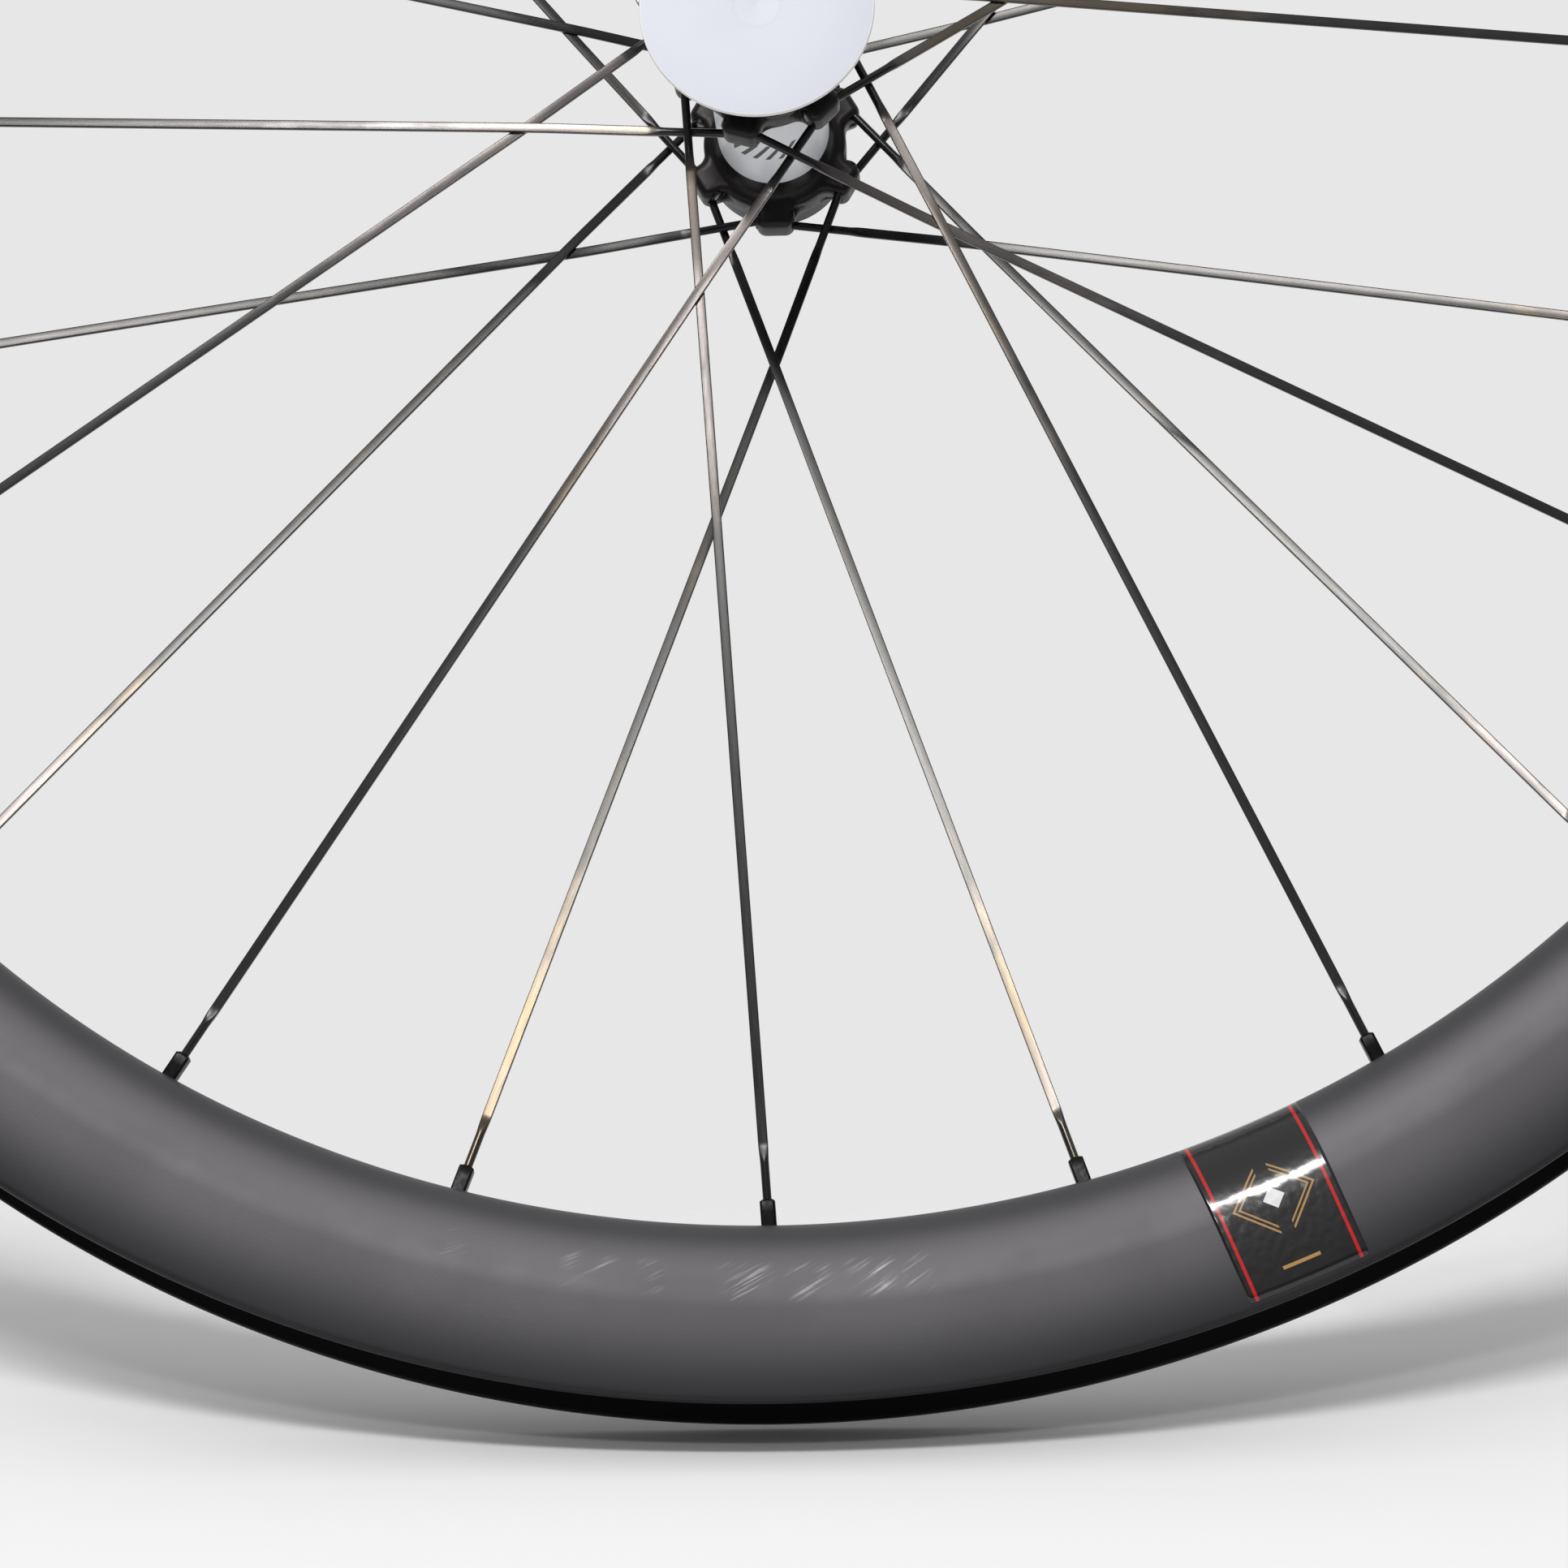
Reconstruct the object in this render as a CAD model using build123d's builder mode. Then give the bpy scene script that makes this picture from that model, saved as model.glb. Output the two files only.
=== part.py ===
from build123d import *
from math import acos, cos, degrees, pi, radians, sin, sqrt, tan
import os

# Front wheel for a disc brake: deep carbon rim, straight-pull bladed spokes and a thru-axle hub.
# The wheel centre is the origin, the axle lies along Y, the valve hole is by +Z, units are millimetres.
# The near side, where the rotor spline is, faces -Y.

# Rim
bead_seat_diameter = 622.0
lip_height = 5.5
rim_depth = 42.2
spoke_bed_wall = 3.7
rim_lip_width = 28.0
rim_max_width = 29.6
rim_max_width_depth = 15.0
rim_bed_flat = 5.4
rim_bed_radius = 6.2
rim_bed_arc = 55.0
rim_skin = 1.3
cavity_bend_share = 0.3
lip_thickness = 3.1
lip_chamfer = 0.8
bead_shelf_width = 5.2
tyre_well_depth = 3.6
tyre_bed_wall = 1.7
valve_hole_diameter = 6.5

# Lacing
spoke_count = 24
spokes_per_lobe = 2
lace_span_pitches = 5
lace_radius = 18.9
near_flange_offset = 23.3
far_flange_offset = 33.9
near_first_lobe = -105.0
far_first_lobe = -90.0
weave_clearance = 0.06

# Spokes and nipples, drawn eight-sided because they repeat so often
wire_diameter = 2.0
blade_width = 2.25
blade_thickness = 0.95
blade_edge = 0.3
blade_shoulder = 0.42
hub_round_length = 20.0
rim_round_length = 8.0
blade_taper = 5.0
spoke_head_diameter = 3.6
spoke_head_length = 2.4
spoke_bore_clearance = 0.1
nipple_flats = 3.5
nipple_corner = 0.65
nipple_visible_length = 6.6
nipple_top_chamfer = 0.5
nipple_head_diameter = 5.6
nipple_head_length = 1.6
nipple_seat_lift = 0.35
nipple_hole_clearance = 0.12
thread_clearance = 0.03

# Hub shell
lobe_tip_radius = 21.9
lobe_width = 9.2
lobe_corner = 2.4
valley_radius = 17.2
valley_fillet = 3.2
flange_skin = 0.35
barrel_radius = 13.2
barrel_far_end = 23.5
barrel_near_end = -13.6
barrel_bore_radius = 11.0
neck_bend_rise_share = 1 / 3
neck_bend_reach_share = 2 / 3
far_boss_wall = 3.0
band_thickness = 0.25
spline_teeth = 20
spline_root_radius = 16.0
spline_tip_radius = 17.1
spline_tooth_share = 0.5
near_shell_end = -39.0
far_shell_end = 42.6

# Axle and bearings
axle_spacing = 100.0
thru_axle_diameter = 12.0
thru_axle_clearance = 0.05
axle_outer_diameter = 15.0
axle_bore_diameter = 12.6
axle_shoulder_diameter = 18.0
bearing_outer_diameter = 28.0
bearing_width = 7.0
inner_race_wall = 2.0
outer_race_wall = 2.0
near_bearing_face = -29.0
far_bearing_face = 33.0
bearing_shield = 0.7
race_clearance = 0.06
cap_sleeve_length = 5.0
cap_outer_diameter = 20.0
cap_collar_diameter = 18.0
cap_face_length = 4.0
dust_seal_width = 1.6
dust_seal_gap = 0.7
dust_seal_clearance = 0.3

# Axle-end protector: a soft plastic disc whose peg plugs the near end of the axle
protector_diameter = 54.0
protector_thickness = 1.6
protector_collar_diameter = 17.0
protector_standoff = 2.0
protector_peg_length = 9.0
protector_peg_clearance = 0.06
protector_wall = 1.3

os.makedirs("parts", exist_ok=True)

# Worked out from the sizes above
bead_radius = bead_seat_diameter / 2
rim_outer_radius = bead_radius + lip_height
rim_inner_radius = rim_outer_radius - rim_depth
nipple_seat_radius = rim_inner_radius + spoke_bed_wall
nipple_pitch = 360 / spoke_count
lobes_per_flange = spoke_count // (2 * spokes_per_lobe)
lobe_pitch = 360 / lobes_per_flange
lace_span = lace_span_pitches * nipple_pitch
valve_angle = 90 + nipple_pitch / 2
wire_radius = wire_diameter / 2
tangent_angle = degrees(acos(lace_radius / nipple_seat_radius))
seat_distance = sqrt(nipple_seat_radius**2 - lace_radius**2)
octagon_swell = 1 / cos(pi / 8)


def crossing_distance(lobes_apart):
    """Distance along a spoke, from its nearest point to the axle, to its crossing with a facing spoke."""
    return lace_radius * tan(radians(tangent_angle - lace_span + lobes_apart * lobe_pitch / 2))


# Facing spokes pass outside each other next to the hub and change over before the outer crossing.
inner_crossing = crossing_distance(1)
outer_crossing = crossing_distance(2)
weave_point = outer_crossing - 2 * blade_width
inner_weave = wire_radius * octagon_swell + weave_clearance
outer_weave = blade_thickness / 2 + weave_clearance
hub_weave = inner_weave + (inner_weave + outer_weave) * inner_crossing / (weave_point - inner_crossing)

# Where the spoke enters and leaves its lobe
lobe_lean = radians(tangent_angle - lace_span)
lobe_entry = (lace_radius * sin(lobe_lean) - lobe_width / 2) / cos(lobe_lean)
lobe_exit = (lace_radius * sin(lobe_lean) + lobe_width / 2) / cos(lobe_lean)
head_seat = lobe_entry + spoke_head_length
head_radius = spoke_head_diameter / 2
flange_half_width = hub_weave + head_radius + spoke_bore_clearance + flange_skin

# Stations along the spoke and the nipple
nipple_top = nipple_seat_radius - rim_inner_radius + nipple_visible_length
nipple_cone = (nipple_head_diameter - nipple_flats) / 2
nipple_head_radius = nipple_head_diameter / 2
spoke_end = seat_distance + nipple_cone
blade_start = lobe_exit + hub_round_length
blade_end = seat_distance - nipple_top - rim_round_length


def octagon(flats_x, flats_y, corner_x, corner_y):
    """Eight-sided outline: a rectangle across the flats with its corners cut back."""
    x = flats_x / 2
    y = flats_y / 2
    right = [(x, corner_y - y), (x, y - corner_y), (x - corner_x, y), (corner_x - x, y)]
    left = [(-px, -py) for px, py in right]
    Polygon(*right, *left, align=None)


def round_octagon(radius):
    """Regular eight-sided outline with the given radius across its flats."""
    corner = radius * (2 - sqrt(2))
    octagon(2 * radius, 2 * radius, corner, corner)


def spoke_section(distance):
    """Section of the wire at a distance along it: round near both ends, a flat blade between."""
    into_blade = min(distance - blade_start, blade_end - distance) / blade_taper
    flat = max(0, min(1, into_blade))
    round_corner = wire_radius * (2 - sqrt(2))
    octagon(
        wire_diameter + flat * (blade_width - wire_diameter),
        wire_diameter + flat * (blade_thickness - wire_diameter),
        round_corner + flat * (blade_shoulder - round_corner),
        round_corner + flat * ((blade_thickness - blade_edge) / 2 - round_corner),
    )


class SpokeLine:
    """Centre line of one spoke: straight in the wheel's plane, woven sideways at the crossing."""

    def __init__(self, side, offset, nipple_angle, turn):
        self.side = side
        self.offset = offset
        self.turn = turn
        angle = radians(nipple_angle - turn * tangent_angle)
        self.out = Vector(cos(angle), 0, sin(angle))
        self.along = Vector(-sin(angle), 0, cos(angle)) * turn

    def sideways(self, distance):
        """Y at a distance along the spoke; a positive weave lies away from the wheel's middle plane."""
        if distance < weave_point:
            weave = hub_weave - (hub_weave + outer_weave) * distance / weave_point
        else:
            weave = -outer_weave * (seat_distance - distance) / (seat_distance - weave_point)
        plain = self.offset * (1 - distance / seat_distance)
        return self.side * (plain + self.turn * weave)

    def plane(self, distance):
        """Plane square to the spoke, its x direction in the wheel's plane."""
        start, end = (0, weave_point) if distance < weave_point else (weave_point, seat_distance)
        slope = (self.sideways(end - 1e-6) - self.sideways(start)) / (end - start)
        origin = self.out * lace_radius + self.along * distance + Vector(0, self.sideways(distance), 0)
        return Plane(origin=origin, x_dir=self.out, z_dir=self.along + Vector(0, slope, 0))


def flange_spokes(side, offset, first_lobe):
    """The spoke lines of one flange, two to a lobe, one each way round."""
    lines = []
    for lobe in range(lobes_per_flange):
        for turn in (1, -1):
            nipple_angle = first_lobe + lobe * lobe_pitch + turn * lace_span
            lines.append(SpokeLine(side, offset, nipple_angle, turn))
    return lines


near_lines = flange_spokes(-1, near_flange_offset, near_first_lobe)
far_lines = flange_spokes(1, far_flange_offset, far_first_lobe)


def finish(part, name):
    part.label = name
    export_step(part, f"parts/{name}.step")


# Rim: one hollow section turned about the axle
lip_half = rim_lip_width / 2
lip_inner_half = lip_half - lip_thickness
well_radius = bead_radius - tyre_well_depth
well_half = lip_inner_half - bead_shelf_width
widest = (rim_outer_radius - rim_max_width_depth, rim_max_width / 2)
bed_edge = (rim_inner_radius, rim_bed_flat / 2)


def on_bed(angle):
    """Point of the rounded shoulder between the flat of the spoke bed and the flank."""
    return (
        bed_edge[0] + rim_bed_radius * (1 - cos(radians(angle))),
        bed_edge[1] + rim_bed_radius * sin(radians(angle)),
    )


bed_end = on_bed(rim_bed_arc)
bed_tangent = (sin(radians(rim_bed_arc)), cos(radians(rim_bed_arc)))

# Inside of the box section, a skin's thickness in from the outline
cavity_floor = nipple_seat_radius - nipple_seat_lift
cavity_floor_half = nipple_head_diameter / 2 + rim_skin
cavity_roof = well_radius - tyre_bed_wall
shelf_roof = bead_radius - tyre_bed_wall
shelf_edge = well_half + tyre_well_depth / 2


def inside(curve, share):
    """Point a skin's thickness inside the flank, at a share of its length."""
    tangent = curve % share
    return curve @ share + Vector(tangent.Y, -tangent.X) * rim_skin


with BuildPart() as rim:
    with BuildSketch(Plane.XY):
        with BuildLine():
            Line((rim_inner_radius, 0), bed_edge)
            ThreePointArc(bed_edge, on_bed(rim_bed_arc / 2), bed_end)
            flank = TangentArc(bed_end, widest, tangent=bed_tangent)
            Polyline(
                widest,
                (rim_outer_radius - lip_chamfer, lip_half),
                (rim_outer_radius, lip_half - lip_chamfer),
                (rim_outer_radius, lip_inner_half),
                (bead_radius, lip_inner_half),
                (bead_radius, shelf_edge),
                (well_radius, well_half),
                (well_radius, 0),
            )
            mirror(about=Plane.XZ)
        make_face()
        with BuildLine():
            Polyline(
                (cavity_floor, 0),
                (cavity_floor, cavity_floor_half),
                inside(flank, cavity_bend_share),
                inside(flank, 1),
                (shelf_roof, lip_half - rim_skin - tyre_bed_wall / 2),
                (shelf_roof, shelf_edge + tyre_bed_wall / 2),
                (cavity_roof, well_half),
                (cavity_roof, 0),
            )
            mirror(about=Plane.XZ)
        make_face(mode=Mode.SUBTRACT)
    revolve(axis=Axis.Y)
    nipple_hole = nipple_flats + 2 * nipple_hole_clearance
    for line in near_lines + far_lines:
        with BuildSketch(line.plane(seat_distance - nipple_top)):
            octagon(nipple_hole, nipple_hole, nipple_corner, nipple_corner)
    extrude(amount=nipple_top + 2 * nipple_cone, mode=Mode.SUBTRACT)
    valve_direction = (cos(radians(valve_angle)), 0, sin(radians(valve_angle)))
    with BuildSketch(Plane(origin=(0, 0, 0), x_dir=(0, 1, 0), z_dir=valve_direction)):
        Circle(valve_hole_diameter / 2)
    extrude(amount=rim_outer_radius, mode=Mode.SUBTRACT)
finish(rim.part, "rim")

# Hub shell: turned barrel, two star flanges and the rotor spline
near_flange_in = -near_flange_offset + flange_half_width
near_flange_out = -near_flange_offset - flange_half_width
far_flange_in = far_flange_offset - flange_half_width
far_flange_out = far_flange_offset + flange_half_width
bearing_radius = bearing_outer_diameter / 2
neck_radius = barrel_radius + (valley_radius - barrel_radius) * neck_bend_rise_share
near_neck = barrel_near_end + (near_flange_in - barrel_near_end) * neck_bend_reach_share
far_neck = barrel_far_end + (far_flange_in - barrel_far_end) * neck_bend_reach_share
far_boss_radius = bearing_radius + far_boss_wall


def from_axle(vertex):
    """Distance of a flange corner from the axle, rounded so that like corners group together."""
    return round(vertex.center().length, 3)


with BuildPart() as hub_shell:
    with BuildSketch(Plane.XY):
        with BuildLine():
            Polyline(
                (barrel_bore_radius, near_bearing_face),
                (bearing_radius, near_bearing_face),
                (bearing_radius, near_shell_end),
                (spline_root_radius, near_shell_end),
                (spline_root_radius, near_flange_out),
                (valley_radius, near_flange_out),
                (valley_radius, near_flange_in),
                (neck_radius, near_neck),
                (barrel_radius, barrel_near_end),
                (barrel_radius, barrel_far_end),
                (neck_radius, far_neck),
                (valley_radius, far_flange_in),
                (valley_radius, far_flange_out),
                (far_boss_radius, far_flange_out),
                (far_boss_radius, far_shell_end),
                (bearing_radius, far_shell_end),
                (bearing_radius, far_bearing_face),
                (barrel_bore_radius, far_bearing_face),
                close=True,
            )
        make_face()
    revolve(axis=Axis.Y)
    for centre, first_lobe in ((-near_flange_offset, near_first_lobe), (far_flange_offset, far_first_lobe)):
        with BuildSketch(Plane.XZ.offset(-centre)) as star:
            Circle(valley_radius)
            with PolarLocations(0, lobes_per_flange, start_angle=first_lobe):
                Rectangle(lobe_tip_radius, lobe_width, align=(Align.MIN, Align.CENTER))
            fillet(star.vertices().group_by(from_axle)[-1], lobe_corner)
            fillet(star.vertices().group_by(from_axle)[0], valley_fillet)
            Circle((bearing_radius + valley_radius) / 2, mode=Mode.SUBTRACT)
        extrude(amount=flange_half_width, both=True)
    with BuildSketch(Plane.XZ.offset(-near_flange_out)):
        with PolarLocations(0, spline_teeth):
            tooth = 2 * pi * spline_tip_radius / spline_teeth * spline_tooth_share
            Rectangle(spline_tip_radius, tooth, align=(Align.MIN, Align.CENTER))
        Circle((bearing_radius + spline_root_radius) / 2, mode=Mode.SUBTRACT)
    extrude(amount=near_flange_out - near_shell_end)
    for line in near_lines + far_lines:
        with BuildSketch(line.plane(head_seat)):
            round_octagon(wire_radius + spoke_bore_clearance)
    extrude(amount=lobe_exit - head_seat + lobe_width / 2, mode=Mode.SUBTRACT)
    for line in near_lines + far_lines:
        with BuildSketch(line.plane(head_seat)):
            round_octagon(head_radius + spoke_bore_clearance)
    extrude(amount=-(spoke_head_length + lobe_width / 2), mode=Mode.SUBTRACT)
finish(hub_shell.part, "hub_shell")

# Printed band around the barrel
with BuildPart() as barrel_band:
    with BuildSketch(Plane.XY):
        with Locations((barrel_radius, (barrel_near_end + barrel_far_end) / 2)):
            Rectangle(band_thickness, barrel_far_end - barrel_near_end, align=(Align.MIN, Align.CENTER))
    revolve(axis=Axis.Y)
finish(barrel_band.part, "barrel_band")

# Spokes: round at both ends, pressed flat between, with a head that seats in the lobe
stations = sorted(
    (head_seat, blade_start, blade_start + blade_taper, weave_point, blade_end - blade_taper, blade_end, spoke_end)
)
for side, lines in (("near", near_lines), ("far", far_lines)):
    for number, line in enumerate(lines, start=1):
        with BuildPart() as spoke:
            for distance in stations:
                with BuildSketch(line.plane(distance)):
                    spoke_section(distance)
            loft(ruled=True)
            with BuildSketch(line.plane(head_seat)):
                round_octagon(head_radius)
            extrude(amount=-spoke_head_length)
        finish(spoke.part, f"{side}_spoke_{number:02d}")

# Nipples: square shank with cut corners, a cone that seats in the rim and a head inside it
for side, lines in (("near", near_lines), ("far", far_lines)):
    with BuildPart() as nipples:
        for line in lines:
            with BuildSketch(line.plane(seat_distance - nipple_top)):
                narrow = nipple_flats - 2 * nipple_top_chamfer
                octagon(narrow, narrow, nipple_corner, nipple_corner)
            for distance in (seat_distance - nipple_top + nipple_top_chamfer, seat_distance):
                with BuildSketch(line.plane(distance)):
                    octagon(nipple_flats, nipple_flats, nipple_corner, nipple_corner)
            for distance in (seat_distance + nipple_cone, seat_distance + nipple_cone + nipple_head_length):
                with BuildSketch(line.plane(distance)):
                    round_octagon(nipple_head_radius)
            loft(ruled=True)
        for line in lines:
            with BuildSketch(line.plane(seat_distance - nipple_top)):
                round_octagon(wire_radius + thread_clearance)
        extrude(amount=nipple_top + nipple_cone + nipple_head_length, mode=Mode.SUBTRACT)
    finish(nipples.part, f"{side}_nipples")

# Axle: a tube with a raised middle that spaces the two bearings
axle_radius = axle_outer_diameter / 2
near_race_face = near_bearing_face - bearing_width
far_race_face = far_bearing_face + bearing_width
near_axle_end = near_race_face - cap_sleeve_length
far_axle_end = far_race_face + cap_sleeve_length

with BuildPart() as axle:
    with BuildSketch(Plane.XY):
        with BuildLine():
            Polyline(
                (axle_bore_diameter / 2, near_axle_end),
                (axle_radius, near_axle_end),
                (axle_radius, near_bearing_face),
                (axle_shoulder_diameter / 2, near_bearing_face),
                (axle_shoulder_diameter / 2, far_bearing_face),
                (axle_radius, far_bearing_face),
                (axle_radius, far_axle_end),
                (axle_bore_diameter / 2, far_axle_end),
                close=True,
            )
        make_face()
    revolve(axis=Axis.Y)
finish(axle.part, "axle")

# Sealed bearings: inner race on the axle, outer race in the shell, a shield at each face
inner_race_radius = axle_radius + inner_race_wall
outer_race_bore = bearing_radius - outer_race_wall
for side, low in (("near", near_race_face), ("far", far_bearing_face)):
    with BuildPart() as inner_race:
        with BuildSketch(Plane.XY):
            with Locations((axle_radius, low)):
                Rectangle(inner_race_wall, bearing_width, align=Align.MIN)
        revolve(axis=Axis.Y)
    finish(inner_race.part, f"{side}_inner_race")
    with BuildPart() as outer_race:
        with BuildSketch(Plane.XY):
            with Locations((outer_race_bore, low)):
                Rectangle(outer_race_wall, bearing_width, align=Align.MIN)
        revolve(axis=Axis.Y)
    finish(outer_race.part, f"{side}_outer_race")
    with BuildPart() as shields:
        with BuildSketch(Plane.XY):
            with Locations((outer_race_bore, low), (outer_race_bore, low + bearing_width - bearing_shield)):
                shield_reach = outer_race_bore - inner_race_radius - race_clearance
                Rectangle(shield_reach, bearing_shield, align=(Align.MAX, Align.MIN))
        revolve(axis=Axis.Y)
    finish(shields.part, f"{side}_bearing_shields")

# End caps: sleeves over the axle ends that clamp the inner races and meet the fork
cap_bore = (thru_axle_diameter + thru_axle_clearance * 2) / 2
cap_ends = (
    ("near", near_race_face, near_axle_end, -axle_spacing / 2, -1),
    ("far", far_race_face, far_axle_end, axle_spacing / 2, 1),
)
for side, race_face, axle_end, outer_face, outward in cap_ends:
    collar_end = outer_face - outward * cap_face_length
    with BuildPart() as end_cap:
        with BuildSketch(Plane.XY):
            with BuildLine():
                Polyline(
                    (axle_radius, race_face),
                    (cap_collar_diameter / 2, race_face),
                    (cap_collar_diameter / 2, collar_end),
                    (cap_outer_diameter / 2, collar_end),
                    (cap_outer_diameter / 2, outer_face),
                    (cap_bore, outer_face),
                    (cap_bore, axle_end),
                    (axle_radius, axle_end),
                    close=True,
                )
            make_face()
        revolve(axis=Axis.Y)
    finish(end_cap.part, f"{side}_end_cap")
    with BuildPart() as dust_seal:
        with BuildSketch(Plane.XY):
            with Locations((cap_collar_diameter / 2, race_face + outward * dust_seal_gap)):
                reach = bearing_radius - dust_seal_clearance - cap_collar_diameter / 2
                from_race = Align.MIN if outward > 0 else Align.MAX
                Rectangle(reach, dust_seal_width, align=(Align.MIN, from_race))
        revolve(axis=Axis.Y)
    finish(dust_seal.part, f"{side}_dust_seal")

# Axle-end protector: a plain disc outside, a collar on the end cap and a hollow peg in the axle's bore
fork_face = -axle_spacing / 2
protector_back = fork_face - protector_standoff
protector_face = protector_back - protector_thickness
peg_radius = cap_bore - protector_peg_clearance
peg_end = fork_face + protector_peg_length
with BuildPart() as axle_end_protector:
    with BuildSketch(Plane.XY):
        with BuildLine():
            Polyline(
                (0, protector_face),
                (protector_diameter / 2, protector_face),
                (protector_diameter / 2, protector_back),
                (protector_collar_diameter / 2, protector_back),
                (protector_collar_diameter / 2, fork_face),
                (peg_radius, fork_face),
                (peg_radius, peg_end),
                (peg_radius - protector_wall, peg_end),
                (peg_radius - protector_wall, protector_back),
                (0, protector_back),
                close=True,
            )
        make_face()
    revolve(axis=Axis.Y)
finish(axle_end_protector.part, "axle_end_protector")
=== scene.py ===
# %% [markdown]
# # A front wheel with flat-bladed spokes
# The object is a front bicycle wheel for a disc brake: a deep carbon rim, twenty-four black steel
# spokes pressed flat like blades, and a star-flanged hub that turns on an axle. Its solids are already
# made, so this lesson only dresses them: each visible piece gets a smooth skin and a finish of its own.
# The solids are loaded first.

# %% Load the solids
import bpy
import numpy as np
from math import acos, atan2, cos, degrees, pi, radians, sin, sqrt, tan
from mathutils import Euler, Matrix, Vector


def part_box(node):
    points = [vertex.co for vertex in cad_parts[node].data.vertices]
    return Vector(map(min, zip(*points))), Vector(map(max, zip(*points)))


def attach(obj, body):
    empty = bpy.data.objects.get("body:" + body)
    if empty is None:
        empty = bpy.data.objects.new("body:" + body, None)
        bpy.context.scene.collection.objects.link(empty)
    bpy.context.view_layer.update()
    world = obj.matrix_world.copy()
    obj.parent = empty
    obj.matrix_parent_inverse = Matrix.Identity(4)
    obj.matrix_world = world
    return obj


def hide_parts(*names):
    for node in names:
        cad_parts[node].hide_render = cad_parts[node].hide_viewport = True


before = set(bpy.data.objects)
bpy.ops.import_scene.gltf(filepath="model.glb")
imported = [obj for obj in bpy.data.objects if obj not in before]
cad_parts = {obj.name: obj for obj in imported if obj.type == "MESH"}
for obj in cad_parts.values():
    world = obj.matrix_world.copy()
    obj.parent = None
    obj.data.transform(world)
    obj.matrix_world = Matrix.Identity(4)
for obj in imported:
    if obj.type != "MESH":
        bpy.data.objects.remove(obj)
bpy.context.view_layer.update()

MM = 0.001

# %% [markdown]
# ## One way to make every skin
# Almost every piece here is a grid of points bent into shape: a profile turned about the axle, or a
# section carried along a spoke. Modelling by hand would also do, but a grid is exact, and the same few
# lines close it into a tube, cap it and hand it to Blender. `skin` takes a whole stack of grids, so that
# twelve nipples cost no more code than one. What a drill would do is left to Blender's boolean, because a
# hole in a curved wall has no simple grid of its own.

# %% From a grid of points to a piece
def skin(name, grid, closed_rows=False, closed_columns=True, caps=False, uv=None, sharp=35):
    """Mesh over grids of points in millimetres, shaped (copies, rows, columns, 3).

    Every square of four neighbouring points is a face. A closed direction joins its last line to its
    first, and caps put a flat face over the first and last row. If the closed skin encloses a negative
    volume, it is inside out, and its faces are turned round. A uv holds the places of the columns and of
    the rows on the piece's own map.
    """
    grid = grid if grid.ndim == 4 else grid[None]
    index = np.arange(grid[..., 0].size).reshape(grid.shape[:3])
    row = np.concatenate([index, index[:, :1]], axis=1) if closed_rows else index
    full = np.concatenate([row, row[:, :, :1]], axis=2) if closed_columns else row

    def quads(lines):
        corners = (lines[:, :-1, :-1], lines[:, 1:, :-1], lines[:, 1:, 1:], lines[:, :-1, 1:])
        return np.stack(corners, axis=-1).reshape(-1, 4)

    faces = quads(full)
    points = grid.reshape(-1, 3)
    around = points - points.mean(axis=0)
    a, b, c, d = (around[faces[:, k]] for k in range(4))
    volume = (np.cross(a, b) * c + np.cross(a, c) * d).sum() / 6
    way = -1 if volume < 0 else 1
    ends = np.concatenate([index[:, 0], index[:, -1, ::-1]]) if caps else index[:0, 0]
    mesh = bpy.data.meshes.new(name)
    polygons = [*faces[:, ::way].tolist(), *ends[:, ::way].tolist()]
    mesh.from_pydata(points * MM, [], polygons, shade_flat=False)
    if uv is not None:
        places = np.stack(np.meshgrid(*uv), axis=-1)
        corners = quads(np.arange(places[..., 0].size).reshape(1, *places.shape[:2]))[:, ::way]
        spread = np.zeros((len(mesh.loops), 2), np.float32)
        spread[: corners.size] = places.reshape(-1, 2)[corners.ravel()]
        mesh.uv_layers.new(name="Wrap").data.foreach_set("uv", spread.ravel())
    mesh.set_sharp_from_angle(angle=radians(sharp))
    piece = bpy.data.objects.new(name, mesh)
    bpy.context.scene.collection.objects.link(piece)
    return piece


print("skin helper ready")

# %% Turning, softening and cutting
def turned(outline, columns):
    """Outline rows of (radius, y) carried round the axle: x = r cos a, z = r sin a, and y stays."""
    angle = np.linspace(0, 2 * pi, columns, endpoint=False)
    radius, y = np.asarray(outline, float).T
    across = np.outer(radius, np.cos(angle))
    up = np.outer(radius, np.sin(angle))
    return np.stack([across, np.repeat(y[:, None], columns, axis=1), up], axis=-1)


def unit(vectors):
    """The same directions at length one: v / |v|."""
    return vectors / np.linalg.norm(vectors, axis=-1, keepdims=True)


def rounded(corners, steps=5):
    """Closed outline from rows of (radius, y, cut), with every corner cut back and bridged by a parabola.

    With corner P and the two points A and B that lie its cut away along its edges, the bridge is
    (1-t)^2 A + 2t(1-t) P + t^2 B.
    """
    corners, cut = np.split(np.array(corners, float), [2], axis=1)
    back = np.roll(corners, 1, axis=0) - corners
    ahead = np.roll(corners, -1, axis=0) - corners
    start = corners + unit(back) * cut
    end = corners + unit(ahead) * cut
    t = np.linspace(0, 1, steps)[None, :, None]
    bridge = (1 - t) ** 2 * start[:, None] + 2 * t * (1 - t) * corners[:, None] + t**2 * end[:, None]
    return bridge.reshape(-1, 2)


def cut_out(piece, cutter):
    """Takes the cutter's volume out of the piece for good and removes the cutter."""
    change = piece.modifiers.new("cut", "BOOLEAN")
    change.operation = "DIFFERENCE"
    change.solver = "MANIFOLD"
    change.object = cutter
    bpy.context.view_layer.update()
    evaluated = piece.evaluated_get(bpy.context.evaluated_depsgraph_get())
    cut = bpy.data.meshes.new_from_object(evaluated)
    piece.modifiers.clear()
    piece.data = cut
    bpy.data.objects.remove(cutter)


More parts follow.
